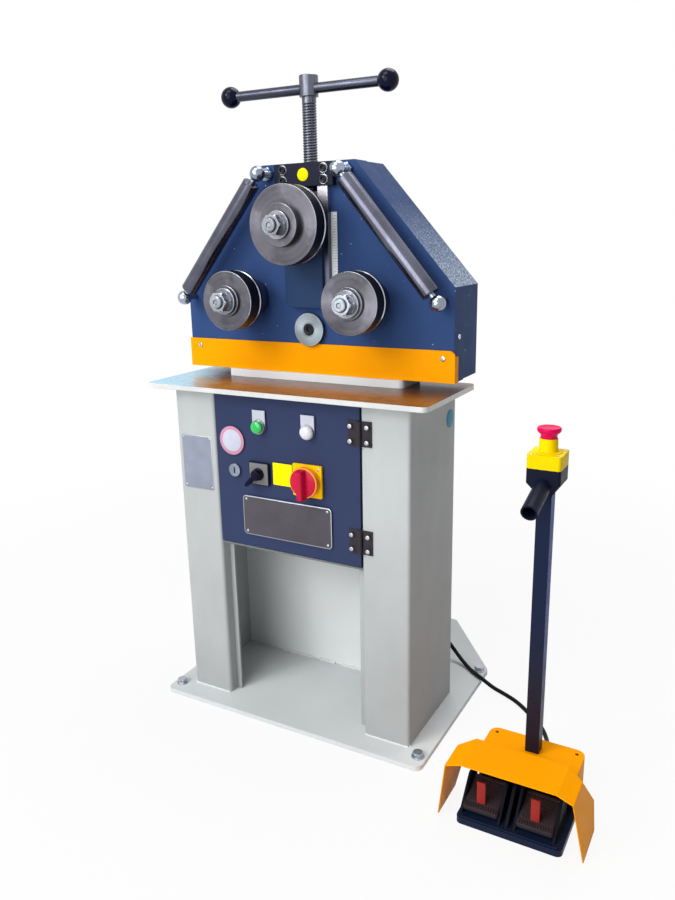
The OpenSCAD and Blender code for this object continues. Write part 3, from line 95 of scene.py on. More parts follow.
# Route of the cable, as in the source
CABLE = [
    (170, -5, 150), (170, 14, 149), (171, 36, 143), (172.7, 55.2, 134), (175.7, 72.5, 121.9),
    (180.7, 87.1, 107.2), (188.2, 98.3, 90.6), (198.3, 105.3, 73.1), (210.9, 107.7, 56),
    (225.6, 105.6, 40.7), (241.8, 99.4, 28.2), (258.8, 89.8, 19.5), (276, 78, 15), (294, 64, 15),
    (312, 52, 15), (330, 43, 12), (348, 36, 8), (366, 30, 6), (386, 22, 5), (406, 11, 5), (426, -4, 5),
    (445, -21, 5), (462, -36, 5), (478, -53, 5), (491, -71, 5), (501, -90, 5.4), (508, -108, 8.8),
    (512, -125, 15.6), (513.6, -141, 23.5), (514, -156, 30), (514, -172, 34.4), (514, -189, 36),
]
CABLE_D = 9


# Camera

CAMERA_PLACE = (829.9, -1524.4, 1005.3)
CAMERA_SPIN = 29.34
CAMERA_TILT = 14.96
CAMERA_ROLL = 1.22
FOCAL_LENGTH = 31.74
SENSOR_W = 36
LENS_SHIFT = (0.00158, -0.00273)


def make_camera():
    """Camera at the place that a fit to the photograph's straight edges gives."""
    spin, tilt, roll = (math.radians(angle) for angle in (CAMERA_SPIN, CAMERA_TILT, CAMERA_ROLL))
    back = Vector((math.sin(spin) * math.cos(tilt), -math.cos(spin) * math.cos(tilt), math.sin(tilt)))
    right = (-back).cross(Vector(UP)).normalized()
    down = (-back).cross(right)
    side = right * math.cos(roll) + down * math.sin(roll)
    drop = down * math.cos(roll) - right * math.sin(roll)
    data = bpy.data.cameras.new("camera")
    data.lens = FOCAL_LENGTH
    data.sensor_width = SENSOR_W
    data.shift_x, data.shift_y = LENS_SHIFT
    camera = bpy.data.objects.new("camera", data)
    turn = Matrix((side, -drop, back)).transposed().to_4x4()
    camera.matrix_world = Matrix.Translation(Vector(CAMERA_PLACE) * MM) @ turn
    scene.collection.objects.link(camera)
    scene.camera = camera


make_camera()


# Node graphs of the materials

def rgb(red, green, blue):
    """Colour from eight-bit screen values."""
    def linear(value):
        share = value / 255
        return share / 12.92 if share <= 0.04045 else ((share + 0.055) / 1.055) ** 2.4
    return (linear(red), linear(green), linear(blue), 1)


def shade(colour, share):
    """The same colour, lighter or darker."""
    return tuple(min(1, part * share) for part in colour[:3]) + (1,)


class Graph:
    """One material and the nodes in it."""

    def __init__(self, name, **constants):
        self.material = bpy.data.materials.new(name)
        self.material.use_nodes = True
        self.tree = self.material.node_tree
        self.shader = self.tree.nodes["Principled BSDF"]
        for socket, value in constants.items():
            self.set(socket, value)

    def set(self, socket, value):
        self.plug(self.shader.inputs[socket.replace("_", " ")], value)

    def plug(self, socket, value):
        if isinstance(value, bpy.types.NodeSocket):
            self.tree.links.new(value, socket)
        else:
            socket.default_value = value

    def add(self, kind, settings=None, **inputs):
        made = self.tree.nodes.new("ShaderNode" + kind)
        for key, value in (settings or {}).items():
            setattr(made, key, value)
        for socket, value in inputs.items():
            self.plug(made.inputs[socket.replace("_", " ")], value)
        return made

    def math(self, operation, first, second=0.0):
        made = self.add("Math", {"operation": operation})
        self.plug(made.inputs[0], first)
        self.plug(made.inputs[1], second)
        return made.outputs[0]

    def vector(self, operation, first, second=(0, 0, 0), out=0):
        made = self.add("VectorMath", {"operation": operation})
        self.plug(made.inputs[0], first)
        self.plug(made.inputs[1], second)
        return made.outputs[out]

    def coords(self):
        return self.add("TexCoord").outputs["Object"]

    def along(self, direction):
        """Place along a direction, in metres."""
        return self.vector("DOT_PRODUCT", self.coords(), direction, out=1)

    def facing(self, direction):
        """How far the surface faces a direction, from -1 to 1."""
        normal = self.add("NewGeometry").outputs["Normal"]
        return self.vector("DOT_PRODUCT", normal, direction, out=1)

    def noise(self, scale, detail=2.0, stretch=(1, 1, 1), turn=(0, 0, 0), vector=None):
        moved = self.add(
            "Mapping", Vector=vector or self.coords(), Scale=stretch, Rotation=turn
        ).outputs["Vector"]
        return self.add("TexNoise", Vector=moved, Scale=scale, Detail=detail).outputs[0]

    def remap(self, value, low, high, to_low, to_high):
        made = self.add("MapRange", {"clamp": True}, Value=value)
        names = ("From Min", "From Max", "To Min", "To Max")
        for key, number in zip(names, (low, high, to_low, to_high)):
            made.inputs[key].default_value = number
        return made.outputs[0]

    def mix(self, share, first, second):
        made = self.add("Mix", {"data_type": "RGBA"})
        self.plug(made.inputs[0], share)
        self.plug(made.inputs[6], first)
        self.plug(made.inputs[7], second)
        return made.outputs[2]

    def soft_normal(self, radius):
        return self.add("Bevel", {"samples": 4}, Radius=radius * MM).outputs["Normal"]

    def edges(self, radius):
        """Mask that is 1 along sharp edges."""
        normal = self.add("NewGeometry").outputs["Normal"]
        along = self.vector("DOT_PRODUCT", self.soft_normal(radius), normal, out=1)
        return self.remap(self.math("SUBTRACT", 1.0, along), 0.02, 0.2, 0, 1)

    def bump(self, height, strength, depth, normal=None):
        made = self.add("Bump", Height=height, Strength=strength, Distance=depth * MM)
        if normal is not None:
            self.plug(made.inputs["Normal"], normal)
        return made.outputs["Normal"]

    def from_axis(self, x, z):
        """Place in metres, seen from an axis along Y."""
        return self.vector("SUBTRACT", self.coords(), (x * MM, 0, z * MM))

    def radius(self, x, z):
        """Distance in metres from an axis along Y."""
        return self.vector("LENGTH", self.vector("MULTIPLY", self.from_axis(x, z), (1, 0, 1)), out=1)

    def painted_sheen_fan(self, x, z, turn):
        """Two-lobed painted sheen around an axis along Y, from 0 to 1, with uneven edges."""
        split = self.add("SeparateXYZ", Vector=self.from_axis(x, z))
        angle = self.math("ARCTAN2", split.outputs["Z"], split.outputs["X"])
        angle = self.math("ADD", angle, self.remap(self.noise(40, 3), 0.3, 0.7, turn - 0.5, turn + 0.5))
        return self.remap(self.math("COSINE", self.math("MULTIPLY", angle, 2.0)), -0.7, 1, 0, 1)

    def cloudy(self, colour, scale, detail, spread):
        """Colour with slow lighter and darker patches."""
        share = self.remap(self.noise(scale, detail), 0.3, 0.7, 0, 1)
        return self.mix(share, shade(colour, 1 - spread), shade(colour, 1 + spread))

    def coat(self, base, colour, rough, peel, grain, wear):
        """Paint coat over a base colour: lighter worn edges, orange peel, uneven gloss."""
        patches = self.remap(self.noise(45, 3), 0.42, 0.62, 0.1, wear)
        worn = self.math("MULTIPLY", self.edges(1.2), patches)
        self.set("Base_Color", self.mix(worn, base, shade(colour, 1.6)))
        self.set("Roughness", self.remap(self.noise(38, 3), 0.3, 0.7, rough - 0.05, rough + 0.06))
        self.set("Normal", self.bump(self.noise(grain, 2), peel, 0.5, self.soft_normal(1.3)))


def paint(name, colour, rough=0.4, peel=0.12, grain=520, wear=0.5, dirt=0.06, gloss=0.1):
    """Sprayed paint with slight cloudiness."""
    graph = Graph(name, Metallic=0.0, Specular_IOR_Level=gloss)
    graph.coat(graph.cloudy(colour, 4.5, 5, dirt), colour, rough, peel, grain, wear)
    return graph.material


def dust_and_sheen_paint(name, colour, dust_and_sheen_colour, rough, peel, grain):
    """Head paint with a few pale chips, and pale specks on its slopes, thicker towards the sides: partly
    dusty specks, partly a painted sheen of light on the slopes.
    """
    graph = Graph(name, Metallic=0.0, Specular_IOR_Level=0.02)
    # Painted sheen: pale specks on the up-facing slopes, stronger towards the sides, stand in for light
    # glancing off the slanted faces, mixed with dusty specks.
    slope = graph.remap(graph.facing(UP), 0.3, 0.5, 0, 1)
    outward = graph.vector("ABSOLUTE", graph.coords())
    outward = graph.vector("DOT_PRODUCT", outward, RIGHT, out=1)
    thick = graph.remap(outward, 0.17, 0.3, 0.05, 1)
    specks = graph.remap(graph.noise(300, 3), 0.46, 0.64, 0.22, 1)
    cover = graph.math("MULTIPLY", graph.math("MULTIPLY", slope, thick), specks)
    chips = graph.remap(graph.noise(130, 2), 0.745, 0.77, 0, 0.7)
    base = graph.mix(chips, graph.cloudy(colour, 4.5, 5, 0.1), dust_and_sheen_colour)
    base = graph.mix(cover, base, dust_and_sheen_colour)
    graph.coat(base, colour, rough, peel, grain, 0.5)
    return graph.material


def stand_paint(name, colour, foot):
    """Paint of the legs: smeared, and darker towards the floor, where the darker colour is painted shade.
    """
    graph = Graph(name, Metallic=0.0, Specular_IOR_Level=0.1)
    # Painted shade: the paint turns to the darker colour towards the floor.
    low = graph.remap(graph.along(UP), 0.05, 0.55, 1, 0)
    base = graph.mix(low, graph.cloudy(colour, 4.5, 5, 0.04), graph.cloudy(foot, 9, 6, 0.06))
    smears = graph.remap(graph.noise(9, 5, (1, 1, 0.3)), 0.4, 0.66, 0, 0.28)
    base = graph.mix(smears, base, shade(foot, 0.78))
    graph.coat(base, colour, 0.45, 0.1, 520, 0.3)
    return graph.material


def pole_paint(name, front, side, foot):
    """Dark paint of the pole: bluer on its right side as painted light, browner towards its foot."""
    graph = Graph(name, Metallic=0.0, Specular_IOR_Level=0.1)
    painted_blue_side = graph.remap(graph.facing(RIGHT), 0.5, 0.9, 0, 1)
    base = graph.mix(painted_blue_side, graph.cloudy(front, 4.5, 5, 0.1), side)
    low = graph.remap(graph.along(UP), 0.16, 0.36, 1, 0)
    graph.coat(graph.mix(low, base, foot), front, 0.4, 0.1, 520, 0.5)
    return graph.material


def plastic(name, colour, rough=0.4, grain=900, depth=0.05, spread=0.06, gloss=0.1):
    """Moulded plastic with a faint grain and dulled high spots."""
    graph = Graph(name, Metallic=0.0, Specular_IOR_Level=gloss)
    worn = graph.math("MULTIPLY", graph.edges(0.8), 0.35)
    graph.set("Base_Color", graph.mix(worn, graph.cloudy(colour, 30, 4, spread), shade(colour, 1.8)))
    graph.set("Roughness", graph.remap(graph.noise(120, 3), 0.3, 0.7, rough - 0.06, rough + 0.08))
    graph.set("Normal", graph.bump(graph.noise(grain, 2), 0.12, depth, graph.soft_normal(0.7)))
    return graph.material


def metal(name, colour, rough=0.3, stretch=(1, 1, 1), turn=(0, 0, 0), scale=160, depth=0.05, stain_and_reflection=0.2,
          wear=0.6):
    """Bare or plated metal with stretched tool marks, stains and bright edges; on the plated parts the
    strong dark patches are also painted reflections.
    """
    graph = Graph(name, Metallic=1.0)
    marks = graph.noise(scale, 4, stretch, turn)
    stains = graph.remap(graph.noise(14, 5), 0.35, 0.7, 0, 1)
    base = graph.mix(stains, shade(colour, 1 + stain_and_reflection), shade(colour, 1 - stain_and_reflection))
    lined = graph.mix(graph.remap(marks, 0.3, 0.7, 0, 0.5), base, shade(colour, 0.62))
    normal = None
    if wear:
        worn = graph.math("MULTIPLY", graph.edges(0.8), wear)
        lined = graph.mix(worn, lined, shade(colour, 1.5))
        normal = graph.soft_normal(0.6)
    graph.set("Base_Color", lined)
    graph.set("Roughness", graph.remap(marks, 0.25, 0.75, rough - 0.07, rough + 0.1))
    graph.set("Normal", graph.bump(marks, 0.25, depth, normal))
    return graph.material


def turned(name, colour, x, z, rough=0.34, pitch=900, stain_and_reflection=0.14, sheen=0.45, turn=-0.6):
    """Steel turned on a lathe: fine rings, a two-lobed painted sheen about an axis along Y, and bright
    edges that are partly wear and partly painted edge highlight.
    """
    graph = Graph(name, Metallic=1.0, Anisotropic=0.7)
    graph.set("Tangent", graph.add("Tangent", {"direction_type": "RADIAL", "axis": "Y"}).outputs[0])
    across = graph.add("CombineXYZ", X=graph.radius(x, z)).outputs[0]
    fine = graph.math("MULTIPLY", graph.noise(pitch, 2, vector=across), 0.6)
    broad = graph.math("MULTIPLY", graph.noise(pitch / 7, 2, vector=across), 0.4)
    rings = graph.math("ADD", fine, broad)
    stains = graph.remap(graph.noise(16, 4), 0.35, 0.7, 0, 1)
    base = graph.mix(stains, shade(colour, 1 + stain_and_reflection), shade(colour, 1 - stain_and_reflection))
    lined = graph.mix(graph.remap(rings, 0.4, 0.6, 0, 0.9), base, shade(colour, 0.52))
    # Painted highlight: the two-lobed sheen is drawn into the base colour and turns with the part.
    sheen = graph.math("MULTIPLY", graph.painted_sheen_fan(x, z, turn), sheen)
    lined = graph.mix(sheen, lined, shade(colour, 2.6))
    # Bright edges: partly wear, partly painted edge highlight.
    worn = graph.math("MULTIPLY", graph.edges(0.7), 0.6)
    graph.set("Base_Color", graph.mix(worn, lined, rgb(222, 224, 230)))
    graph.set("Roughness", graph.remap(rings, 0.3, 0.7, rough - 0.08, rough + 0.12))
    graph.set("Normal", graph.bump(rings, 0.35, 0.06, graph.soft_normal(0.6)))
    return graph.material


def rail_material(low, high):
    """Ground steel of the right rail: dark below the upper roll as painted shade, pale above it."""
    graph = Graph("rail_steel", Metallic=1.0)
    marks = graph.noise(160, 4, (1, 1, 6))
    # Painted shade: below the upper roll the rail takes the dark colour.
    upper = graph.remap(graph.along(UP), 1.05, 1.07, 0, 1)
    base = graph.mix(upper, graph.cloudy(low, 14, 5, 0.12), graph.cloudy(high, 14, 5, 0.05))
    graph.set("Base_Color", base)
    graph.set("Roughness", graph.remap(marks, 0.25, 0.75, 0.3, 0.46))
    graph.set("Normal", graph.bump(marks, 0.25, 0.05, graph.soft_normal(0.6)))
    return graph.material


def table_material():
    """Mill-finished sheet: brown streaks, a pale bluish left corner that is a painted reflection, light
    paint on the edges.
    """
    graph = Graph("table_mill_steel", Coat_Weight=0.25, Coat_Roughness=0.12)
    streaks = graph.noise(26, 6, (1, 4.5, 1))
    fibres = graph.noise(120, 4, (0.35, 5, 1))
    brown = graph.mix(graph.remap(streaks, 0.32, 0.66, 0, 1), rgb(66, 38, 27), rgb(126, 84, 64))
    lined = graph.mix(graph.remap(fibres, 0.35, 0.65, 0, 0.55), brown, rgb(64, 34, 22))
    # Painted reflection: pale blue in the left corner, in place of the surroundings mirrored in the sheet.
    painted_corner_reflection = graph.mix(graph.remap(fibres, 0.35, 0.65, 0, 1), rgb(112, 190, 226), rgb(176, 226, 248))
    ragged = graph.math("ADD", graph.along((1, 0.44, 0)), graph.math("MULTIPLY", streaks, 0.08))
    sheet = graph.mix(graph.remap(ragged, -0.30, -0.23, 0, 1), painted_corner_reflection, lined)
    top = graph.remap(graph.facing(UP), 0.7, 0.8, 0, 1)
    edge = graph.cloudy(rgb(206, 208, 206), 30, 3, 0.06)
    graph.set("Base_Color", graph.mix(top, edge, sheet))
    graph.set("Metallic", graph.math("MULTIPLY", top, 0.35))
    graph.set("Roughness", graph.remap(fibres, 0.3, 0.7, 0.24, 0.4))
    graph.set("Normal", graph.bump(fibres, 0.12, 0.12, graph.soft_normal(1.5)))
    return graph.material


def lens(name, colour):
    """Button and lamp caps: clear plastic over a tinted core."""
    graph = Graph(name, Metallic=0.0, Coat_Weight=0.4, Coat_Roughness=0.05, Subsurface_Weight=0.25)
    graph.shader.inputs["Subsurface Radius"].default_value = (0.004, 0.004, 0.004)
    swirl = graph.remap(graph.noise(60, 3), 0.3, 0.7, 0, 1)
    graph.set("Base_Color", graph.mix(swirl, shade(colour, 0.9), shade(colour, 1.08)))
    graph.set("Roughness", graph.remap(graph.noise(200, 2), 0.3, 0.7, 0.09, 0.17))
    graph.set("Normal", graph.bump(graph.noise(700, 2), 0.05, 0.03))
    return graph.material


# The second colour is the painted shade at the foot of the legs.
STAND = stand_paint("stand_grey", rgb(186, 190, 190), rgb(173, 176, 177))
# Painted light: the base plate and the back panel get lighter copies of the stand's grey, in place of more
# light falling on them.
BASE_PAINTED_LIGHT = paint("base_grey_painted_light", rgb(214, 218, 219), rough=0.45, peel=0.10, dirt=0.04, wear=0.3)
PANEL_PAINTED_LIGHT = paint("panel_grey_painted_light", rgb(226, 230, 229), rough=0.45, peel=0.10, dirt=0.05, wear=0.3)
# The pale second colour gives the chips and the painted sheen on the head's slopes, with dusty specks.
NAVY = dust_and_sheen_paint("head_navy", rgb(53, 76, 122), rgb(212, 226, 242), rough=0.36, peel=0.3, grain=640)
APRON = paint("apron_navy", rgb(39, 61, 97), peel=0.2, grain=640, wear=0.1, dirt=0.08)
DOOR_NAVY = paint("door_navy", rgb(48, 58, 90), rough=0.42, peel=0.14, wear=0.4, dirt=0.05)
ORANGE = paint("strip_orange", rgb(255, 162, 2), peel=0.08, dirt=0.02, wear=0.3, gloss=0.03)
HOOD = paint("hood_orange", rgb(252, 160, 0), rough=0.42, peel=0.08, dirt=0.03, wear=0.3, gloss=0.03)
TABLE = table_material()
PALE = paint("pedestal_pale", rgb(224, 226, 225), rough=0.45, dirt=0.03, wear=0.3)
CAP_BLACK = paint("cap_black", rgb(24, 26, 44), rough=0.36, dirt=0.12, wear=0.6)
# The blue second colour is painted light on the pole's right side.
POLE = pole_paint("pole_navy", rgb(22, 33, 60), rgb(8, 48, 136), rgb(38, 34, 48))
DRIVE = paint("drive_grey_blue", rgb(84, 94, 110), rough=0.42, dirt=0.08, wear=0.5)
HINGE = paint("hinge_grey", rgb(52, 48, 54), peel=0.25, dirt=0.15, wear=0.9)
# On the bright and ball plating the strong dark patches are painted reflections of darker surroundings,
# mixed with stains.
CHROME = metal("bright_plating", rgb(176, 182, 192), rough=0.17, scale=110, depth=0.6, stain_and_reflection=0.4)
BALL_PLATING = metal("ball_plating", rgb(164, 174, 190), rough=0.16, scale=150, depth=1.2, stain_and_reflection=0.3)
ZINC = metal("zinc_plating", rgb(190, 194, 200), rough=0.28, scale=120, stain_and_reflection=0.12)
ANCHOR_STEEL = metal("anchor_steel", rgb(170, 176, 184), rough=0.34, scale=120)
STEEL = metal("ground_steel", rgb(160, 162, 170), stretch=(1, 1, 6), stain_and_reflection=0.1)
# The dark first colour is painted shade on the rail below the upper roll.
RAIL_STEEL = rail_material(rgb(94, 98, 116), rgb(218, 214, 224))
TUBE_TILT = math.atan2(STUDS[3][0] - STUDS[2][0], STUDS[2][1] - STUDS[3][1])
TUBES = {
    side: metal(f"{side}_tube_steel", rgb(100, 101, 115), rough=0.21, stretch=(9, 9, 0.8),
                turn=(0, sign * TUBE_TILT, 0), scale=70, depth=0.02, stain_and_reflection=0.35, wear=0)
    for side, sign in (("left", -1), ("right", 1))
}
SPINDLE_STEEL = metal("spindle_steel", rgb(104, 106, 118), rough=0.32, stretch=(1, 1, 0.1),
                      scale=300, depth=0.01, stain_and_reflection=0.16, wear=0)
BAR_STEEL = metal("bar_steel", rgb(70, 73, 84), rough=0.28, stretch=(0.1, 1, 1), scale=300,
                  depth=0.01, wear=0)
DARK_STEEL = metal("dark_steel", rgb(92, 94, 100), rough=0.4)
BRONZE = metal("nut_bronze", rgb(176, 136, 84), rough=0.35, stain_and_reflection=0.15)
TYPE_PLATE = plastic("type_plate_grey", rgb(140, 146, 162), rough=0.5, spread=0.08)
BRUSHED = metal("brushed_plate", rgb(176, 180, 188), rough=0.36, stretch=(0.3, 1, 9), scale=240, stain_and_reflection=0.06)
NAME_GREY = plastic("name_plate_grey", rgb(80, 77, 84), rough=0.5, spread=0.08)
LIGHT_PLATE = plastic("label_plate_grey", rgb(190, 194, 206), gloss=0.35)
SELECT_PLATE = plastic("selector_plate_grey", rgb(112, 110, 112), rough=0.42, gloss=0.35)
GLOSS_BLACK = plastic("gloss_black", rgb(5, 7, 36), rough=0.1, grain=260, depth=0.12, gloss=0.12)
BLACK = plastic("moulded_black", rgb(16, 21, 40), gloss=0.08)
SCREW_BLACK = plastic("blackened_screws", rgb(24, 26, 34), rough=0.3, gloss=0.2)
RUBBER = plastic("cable_black", rgb(16, 16, 20), rough=0.5)
PEDAL_NAVY = plastic("pedal_navy", rgb(20, 32, 56), rough=0.36, depth=0.08)
CHEEK_BLACK = paint("cheek_black", rgb(14, 16, 28), rough=0.5, wear=0.1, gloss=0.05)
PEDAL_BLACK = plastic("pedal_black", rgb(52, 45, 50), rough=0.55, grain=700, depth=0.25)
YELLOW = plastic("switch_yellow", rgb(250, 190, 2), gloss=0.04)
STOP_YELLOW = plastic("stop_yellow", rgb(246, 212, 0), rough=0.36, gloss=0.04)
LABEL_YELLOW = plastic("label_yellow", rgb(252, 234, 6), gloss=0.04)
SWITCH_RED = plastic("switch_red", rgb(192, 12, 58), rough=0.28, gloss=0.2)
STOP_RED = plastic("stop_red", rgb(218, 8, 86), rough=0.34, gloss=0.08)
INSERT_RED = plastic("insert_red", rgb(158, 50, 46), rough=0.45, gloss=0.06)
# The orange on the red handle's rim is a painted highlight.
RIM_HIGHLIGHT_ORANGE = plastic("rim_highlight_orange", rgb(255, 158, 56), rough=0.32)
RULER_WHITE = plastic("ruler_white", rgb(250, 252, 255), spread=0.02, gloss=0.4)
LAVENDER = plastic("label_lavender", rgb(194, 196, 212))
PINK = plastic("label_pink", rgb(198, 142, 166))
TEAL = plastic("label_teal", rgb(14, 130, 160), gloss=0.2)
TICK = plastic("ruler_ticks", rgb(70, 80, 120), rough=0.45, gloss=0.35)
GREEN_LENS = lens("start_green", rgb(14, 186, 84))
WHITE_LENS = lens("lamp_white", rgb(214, 216, 220))
ELECTRIC = plastic("switchgear_grey", rgb(110, 112, 116), rough=0.45, gloss=0.35)
# Turn of the painted sheen on each roll.
PAINTED_SHEEN_TURN = {"upper": -0.6, "left": -0.6, "right": -0.1}
ROLL_STEEL = {
    name: turned(f"{name}_roll_steel", rgb(88, 87, 94), x, z, turn=PAINTED_SHEEN_TURN[name])
    for name, (x, z, r) in ROLLS.items()
}
RIM_STEEL = metal("knurled_rim", rgb(58, 55, 60), rough=0.42, stretch=(1, 0.3, 1), scale=300, depth=0.12)
WASHER_STEEL = {
    name: turned(f"{name}_washer_steel", rgb(124, 124, 131), x, z, rough=0.3)
    for name, (x, z, r) in ROLLS.items()
}
DISC_STEEL = turned("pinion_disc_steel", rgb(148, 157, 163), 0, DISC_Z, rough=0.46, stain_and_reflection=0.06, sheen=0.1)
CAP_PAINT = paint("bearing_cap_navy", rgb(44, 58, 96), rough=0.32, peel=0.25, dirt=0.1, wear=0.8)

CAD_LOOKS = {
    STAND: ["left_leg", "right_leg"],
    BASE_PAINTED_LIGHT: ["base_plate"],
    PANEL_PAINTED_LIGHT: ["back_panel"],
    PALE: ["pedestal_plate"],
    TABLE: ["table_plate"],
    NAVY: ["head_casing", "head_cover"],
    APRON: ["slide_apron", "slide_block"],
    DOOR_NAVY: ["door_panel"],
    CAP_PAINT: ["bearing_caps"],
    ORANGE: ["front_strip"],
    HOOD: ["pedal_hood"],
    STEEL: ["slide_rails", "shaft_bearings", "slide_bearings", "upper_shaft", "left_shaft", "right_shaft"],
    DARK_STEEL: ["drive_pinion", "left_gear", "right_gear", "spindle_retainer"],
    CAP_BLACK: ["cap_block"],
    BALL_PLATING: ["support_posts", "lock_barrel"],
    HINGE: ["hinge_leaves", "door_hinge_leaves"],
    BRONZE: ["spindle_nut"],
    DRIVE: ["gearbox", "motor"],
    ELECTRIC: ["electrics_tray"],
    GLOSS_BLACK: ["ball_knobs"],
    BLACK: ["stop_box"],
    POLE: ["pedal_pole"],
    PEDAL_NAVY: ["pedal_base"],
    RUBBER: ["cable_glands"],
    STOP_YELLOW: ["stop_cover"],
}


def dress(node, *materials, pick=None):
    """Gives a CAD node its material, or picks one of several for each face."""
    mesh = nodes[node].data
    mesh.materials.clear()
    for material in materials:
        mesh.materials.append(material)
    for face in mesh.polygons:
        face.material_index = pick(face) if pick else 0


for look, members in CAD_LOOKS.items():
    for member in members:
        dress(member, look)
dress("slide_rails", APRON, RAIL_STEEL, pick=lambda face: int(face.center.x > 0))
dress("pedal_base", PEDAL_NAVY, CHEEK_BLACK, pick=lambda face: int(face.center.z > STATION_TOP_Z * MM))


# Mesh helpers

def place_at(point, normal, spin=0):
    """Frame whose Z axis is the normal, with Y upwards where it can be."""
    z_axis = Vector(normal).normalized()
    up = Vector(BACK) if abs(z_axis.z) > 0.9 else Vector(UP)
    x_axis = up.cross(z_axis).normalized()
    turn = Matrix((x_axis, z_axis.cross(x_axis), z_axis)).transposed().to_4x4()
    return Matrix.Translation(Vector(point)) @ turn @ Matrix.Rotation(math.radians(spin), 4, "Z")


def front_at(x, y, z):
    """Frame at a place on a face that looks to the front."""
    return place_at((x, y, z), FRONT)


def ring(radius, count=48):
    """Points around a circle, or around a radius that depends on the angle."""
    angles = [2 * math.pi * k / count for k in range(count)]
    reach = [radius(angle) if callable(radius) else radius for angle in angles]
    return [(r * math.cos(angle), r * math.sin(angle)) for r, angle in zip(reach, angles)]


def hexagon(across, limit=1e9):
    """Radius of a hexagon, cut off at a limit as a nut's chamfer does."""
    def reach(angle):
        turn = (angle % (math.pi / 3)) - math.pi / 6
        return min(limit, across / 2 / math.cos(turn))
    return reach


def cross(size):
    """Radius of a cross recess."""
    return lambda angle: size * (0.3 + 0.7 * abs(math.cos(2 * angle)) ** 10)


def dome(radius, height, rise):
    """Rows of a round cap that starts at a height and rises by some more."""
    steps = (0, 0.25, 0.5, 0.75, 1.0, 1.25, 1.45)
    return [(radius * math.cos(a), height + rise * math.sin(a)) for a in steps]


def rounded(width, height, radius, steps=6):
    """Outline of a rectangle with round corners, about its middle."""
    points = []
    for k, (sx, sy) in enumerate(((1, 1), (-1, 1), (-1, -1), (1, -1))):
        for step in range(steps + 1):
            angle = math.pi / 2 * (k + step / steps)
            points.append((
                sx * (width / 2 - radius) + radius * math.cos(angle),
                sy * (height / 2 - radius) + radius * math.sin(angle),
            ))
    return points


def inset(points, depth):
    """Outline moved inwards, for small depths on smooth outlines."""
    moved = []
    for k, point in enumerate(points):
        before = Vector(points[k - 1])
        after = Vector(points[(k + 1) % len(points)])
        here = Vector(point)
        first = (here - before).normalized()
        second = (after - here).normalized()
        normal = Vector((-(first.y + second.y), first.x + second.x)).normalized()
        moved.append(tuple(here + normal * depth))
    return moved


class Piece:
    """Mesh put together from skins, then made into an object that rides on a body."""

    def __init__(self):
        self.mesh = bmesh.new()

    def skin(self, place, rings, material=0, closed=False):
        """Skin over rings of points; each ring is (points, height) or (points, height, material)."""
        loops = []
        for points, height, *_ in rings:
            loops.append([self.mesh.verts.new((place @ Vector((x, y, height))) * MM) for x, y in points])
        pairs = list(zip(loops, loops[1:]))
        marks = [entry[2] if len(entry) > 2 else material for entry in rings[1:]]
        if closed:
            pairs.append((loops[-1], loops[0]))
            marks.append(material)
        else:
            self.face(reversed(loops[0]), material)
            self.face(loops[-1], marks[-1])
        for (low, high), mark in zip(pairs, marks):
            count = len(low)
            for k in range(count):
                after = (k + 1) % count
                self.face((low[k], low[after], high[after], high[k]), mark)

    def face(self, corners, material):
        made = self.mesh.faces.new(list(corners))
        made.material_index = material

    def lathe(self, place, profile, count=48, material=0, closed=False):
        """Turned shape from (radius, height) or (radius, height, material) rows."""
        rings = [(ring(entry[0], count), *entry[1:]) for entry in profile]
        self.skin(place, rings, material, closed)

    def slab(self, place, outline, thick, edge=0.5, material=0):
        """Plate with a rounded front edge."""
        self.skin(place, [
            (outline, 0),
            (outline, thick - edge),
            (inset(outline, edge * 0.3), thick - edge * 0.3),
            (inset(outline, edge), thick),
        ], material)

    def screw(self, place, radius, height, recess, material=0):
        """Pan head with a recess given as a radius function."""
        self.lathe(place, [
            (radius, 0), (radius, height * 0.45), (radius * 0.93, height * 0.8), (radius * 0.75, height),
            (recess, height), (recess, height * 0.35),
        ], 32, material)

    def socket_screw(self, place, radius, height, across, material=0):
        """Round head with a hexagonal socket."""
        socket = hexagon(across)
        self.lathe(place, [
            (radius, 0), (radius, height - 0.7), (radius - 0.7, height), (across * 0.66, height),
            (socket, height - 0.5), (socket, height * 0.3),
        ], 48, material)

    def rivet(self, place, radius, height, material=0):
        """Low round head."""
        rows = [(math.cos(a), math.sin(a)) for a in (0, 0.35, 0.7, 1.05, 1.35)]
        self.lathe(place, [(radius, -0.2)] + [(radius * c, height * s) for c, s in rows], 20, material)

    def disc(self, place, radius, thick, material=0):
        """Thin round label."""
        rows = [(radius, 0), (radius, thick * 0.7), (radius - 0.3, thick), (4, thick)]
        self.lathe(place, rows, 64, material)

    def bead(self, start, end, radius, material=0):
        """Weld bead: a rope of uneven thickness between two points."""
        length = (Vector(end) - Vector(start)).length
        steps = int(length / 3)
        rings = []
        for k in range(steps + 1):
            swell = 1 + 0.22 * math.sin(2.1 * k) + 0.18 * math.sin(0.83 * k + 1)
            rings.append((ring(radius * swell, 10), length * k / steps))
        self.skin(place_at(start, Vector(end) - Vector(start)), rings, material)

    def done(self, name, body, slot, materials, *replaced, sharp=35):
        """Object from the mesh, riding on a body."""
        bmesh.ops.recalc_face_normals(self.mesh, faces=self.mesh.faces)
        mesh = bpy.data.meshes.new(name)
        self.mesh.to_mesh(mesh)
        self.mesh.free()
        for material in materials:
            mesh.materials.append(material)
        mesh.polygons.foreach_set("use_smooth", [True] * len(mesh.polygons))
        mesh.set_sharp_from_angle(angle=math.radians(sharp))
        made = bpy.data.objects.new(name, mesh)
        scene.collection.objects.link(made)
        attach(made, body)
        if replaced:
            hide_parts(*replaced)
        return made


# Cable between the stand and the pedal station

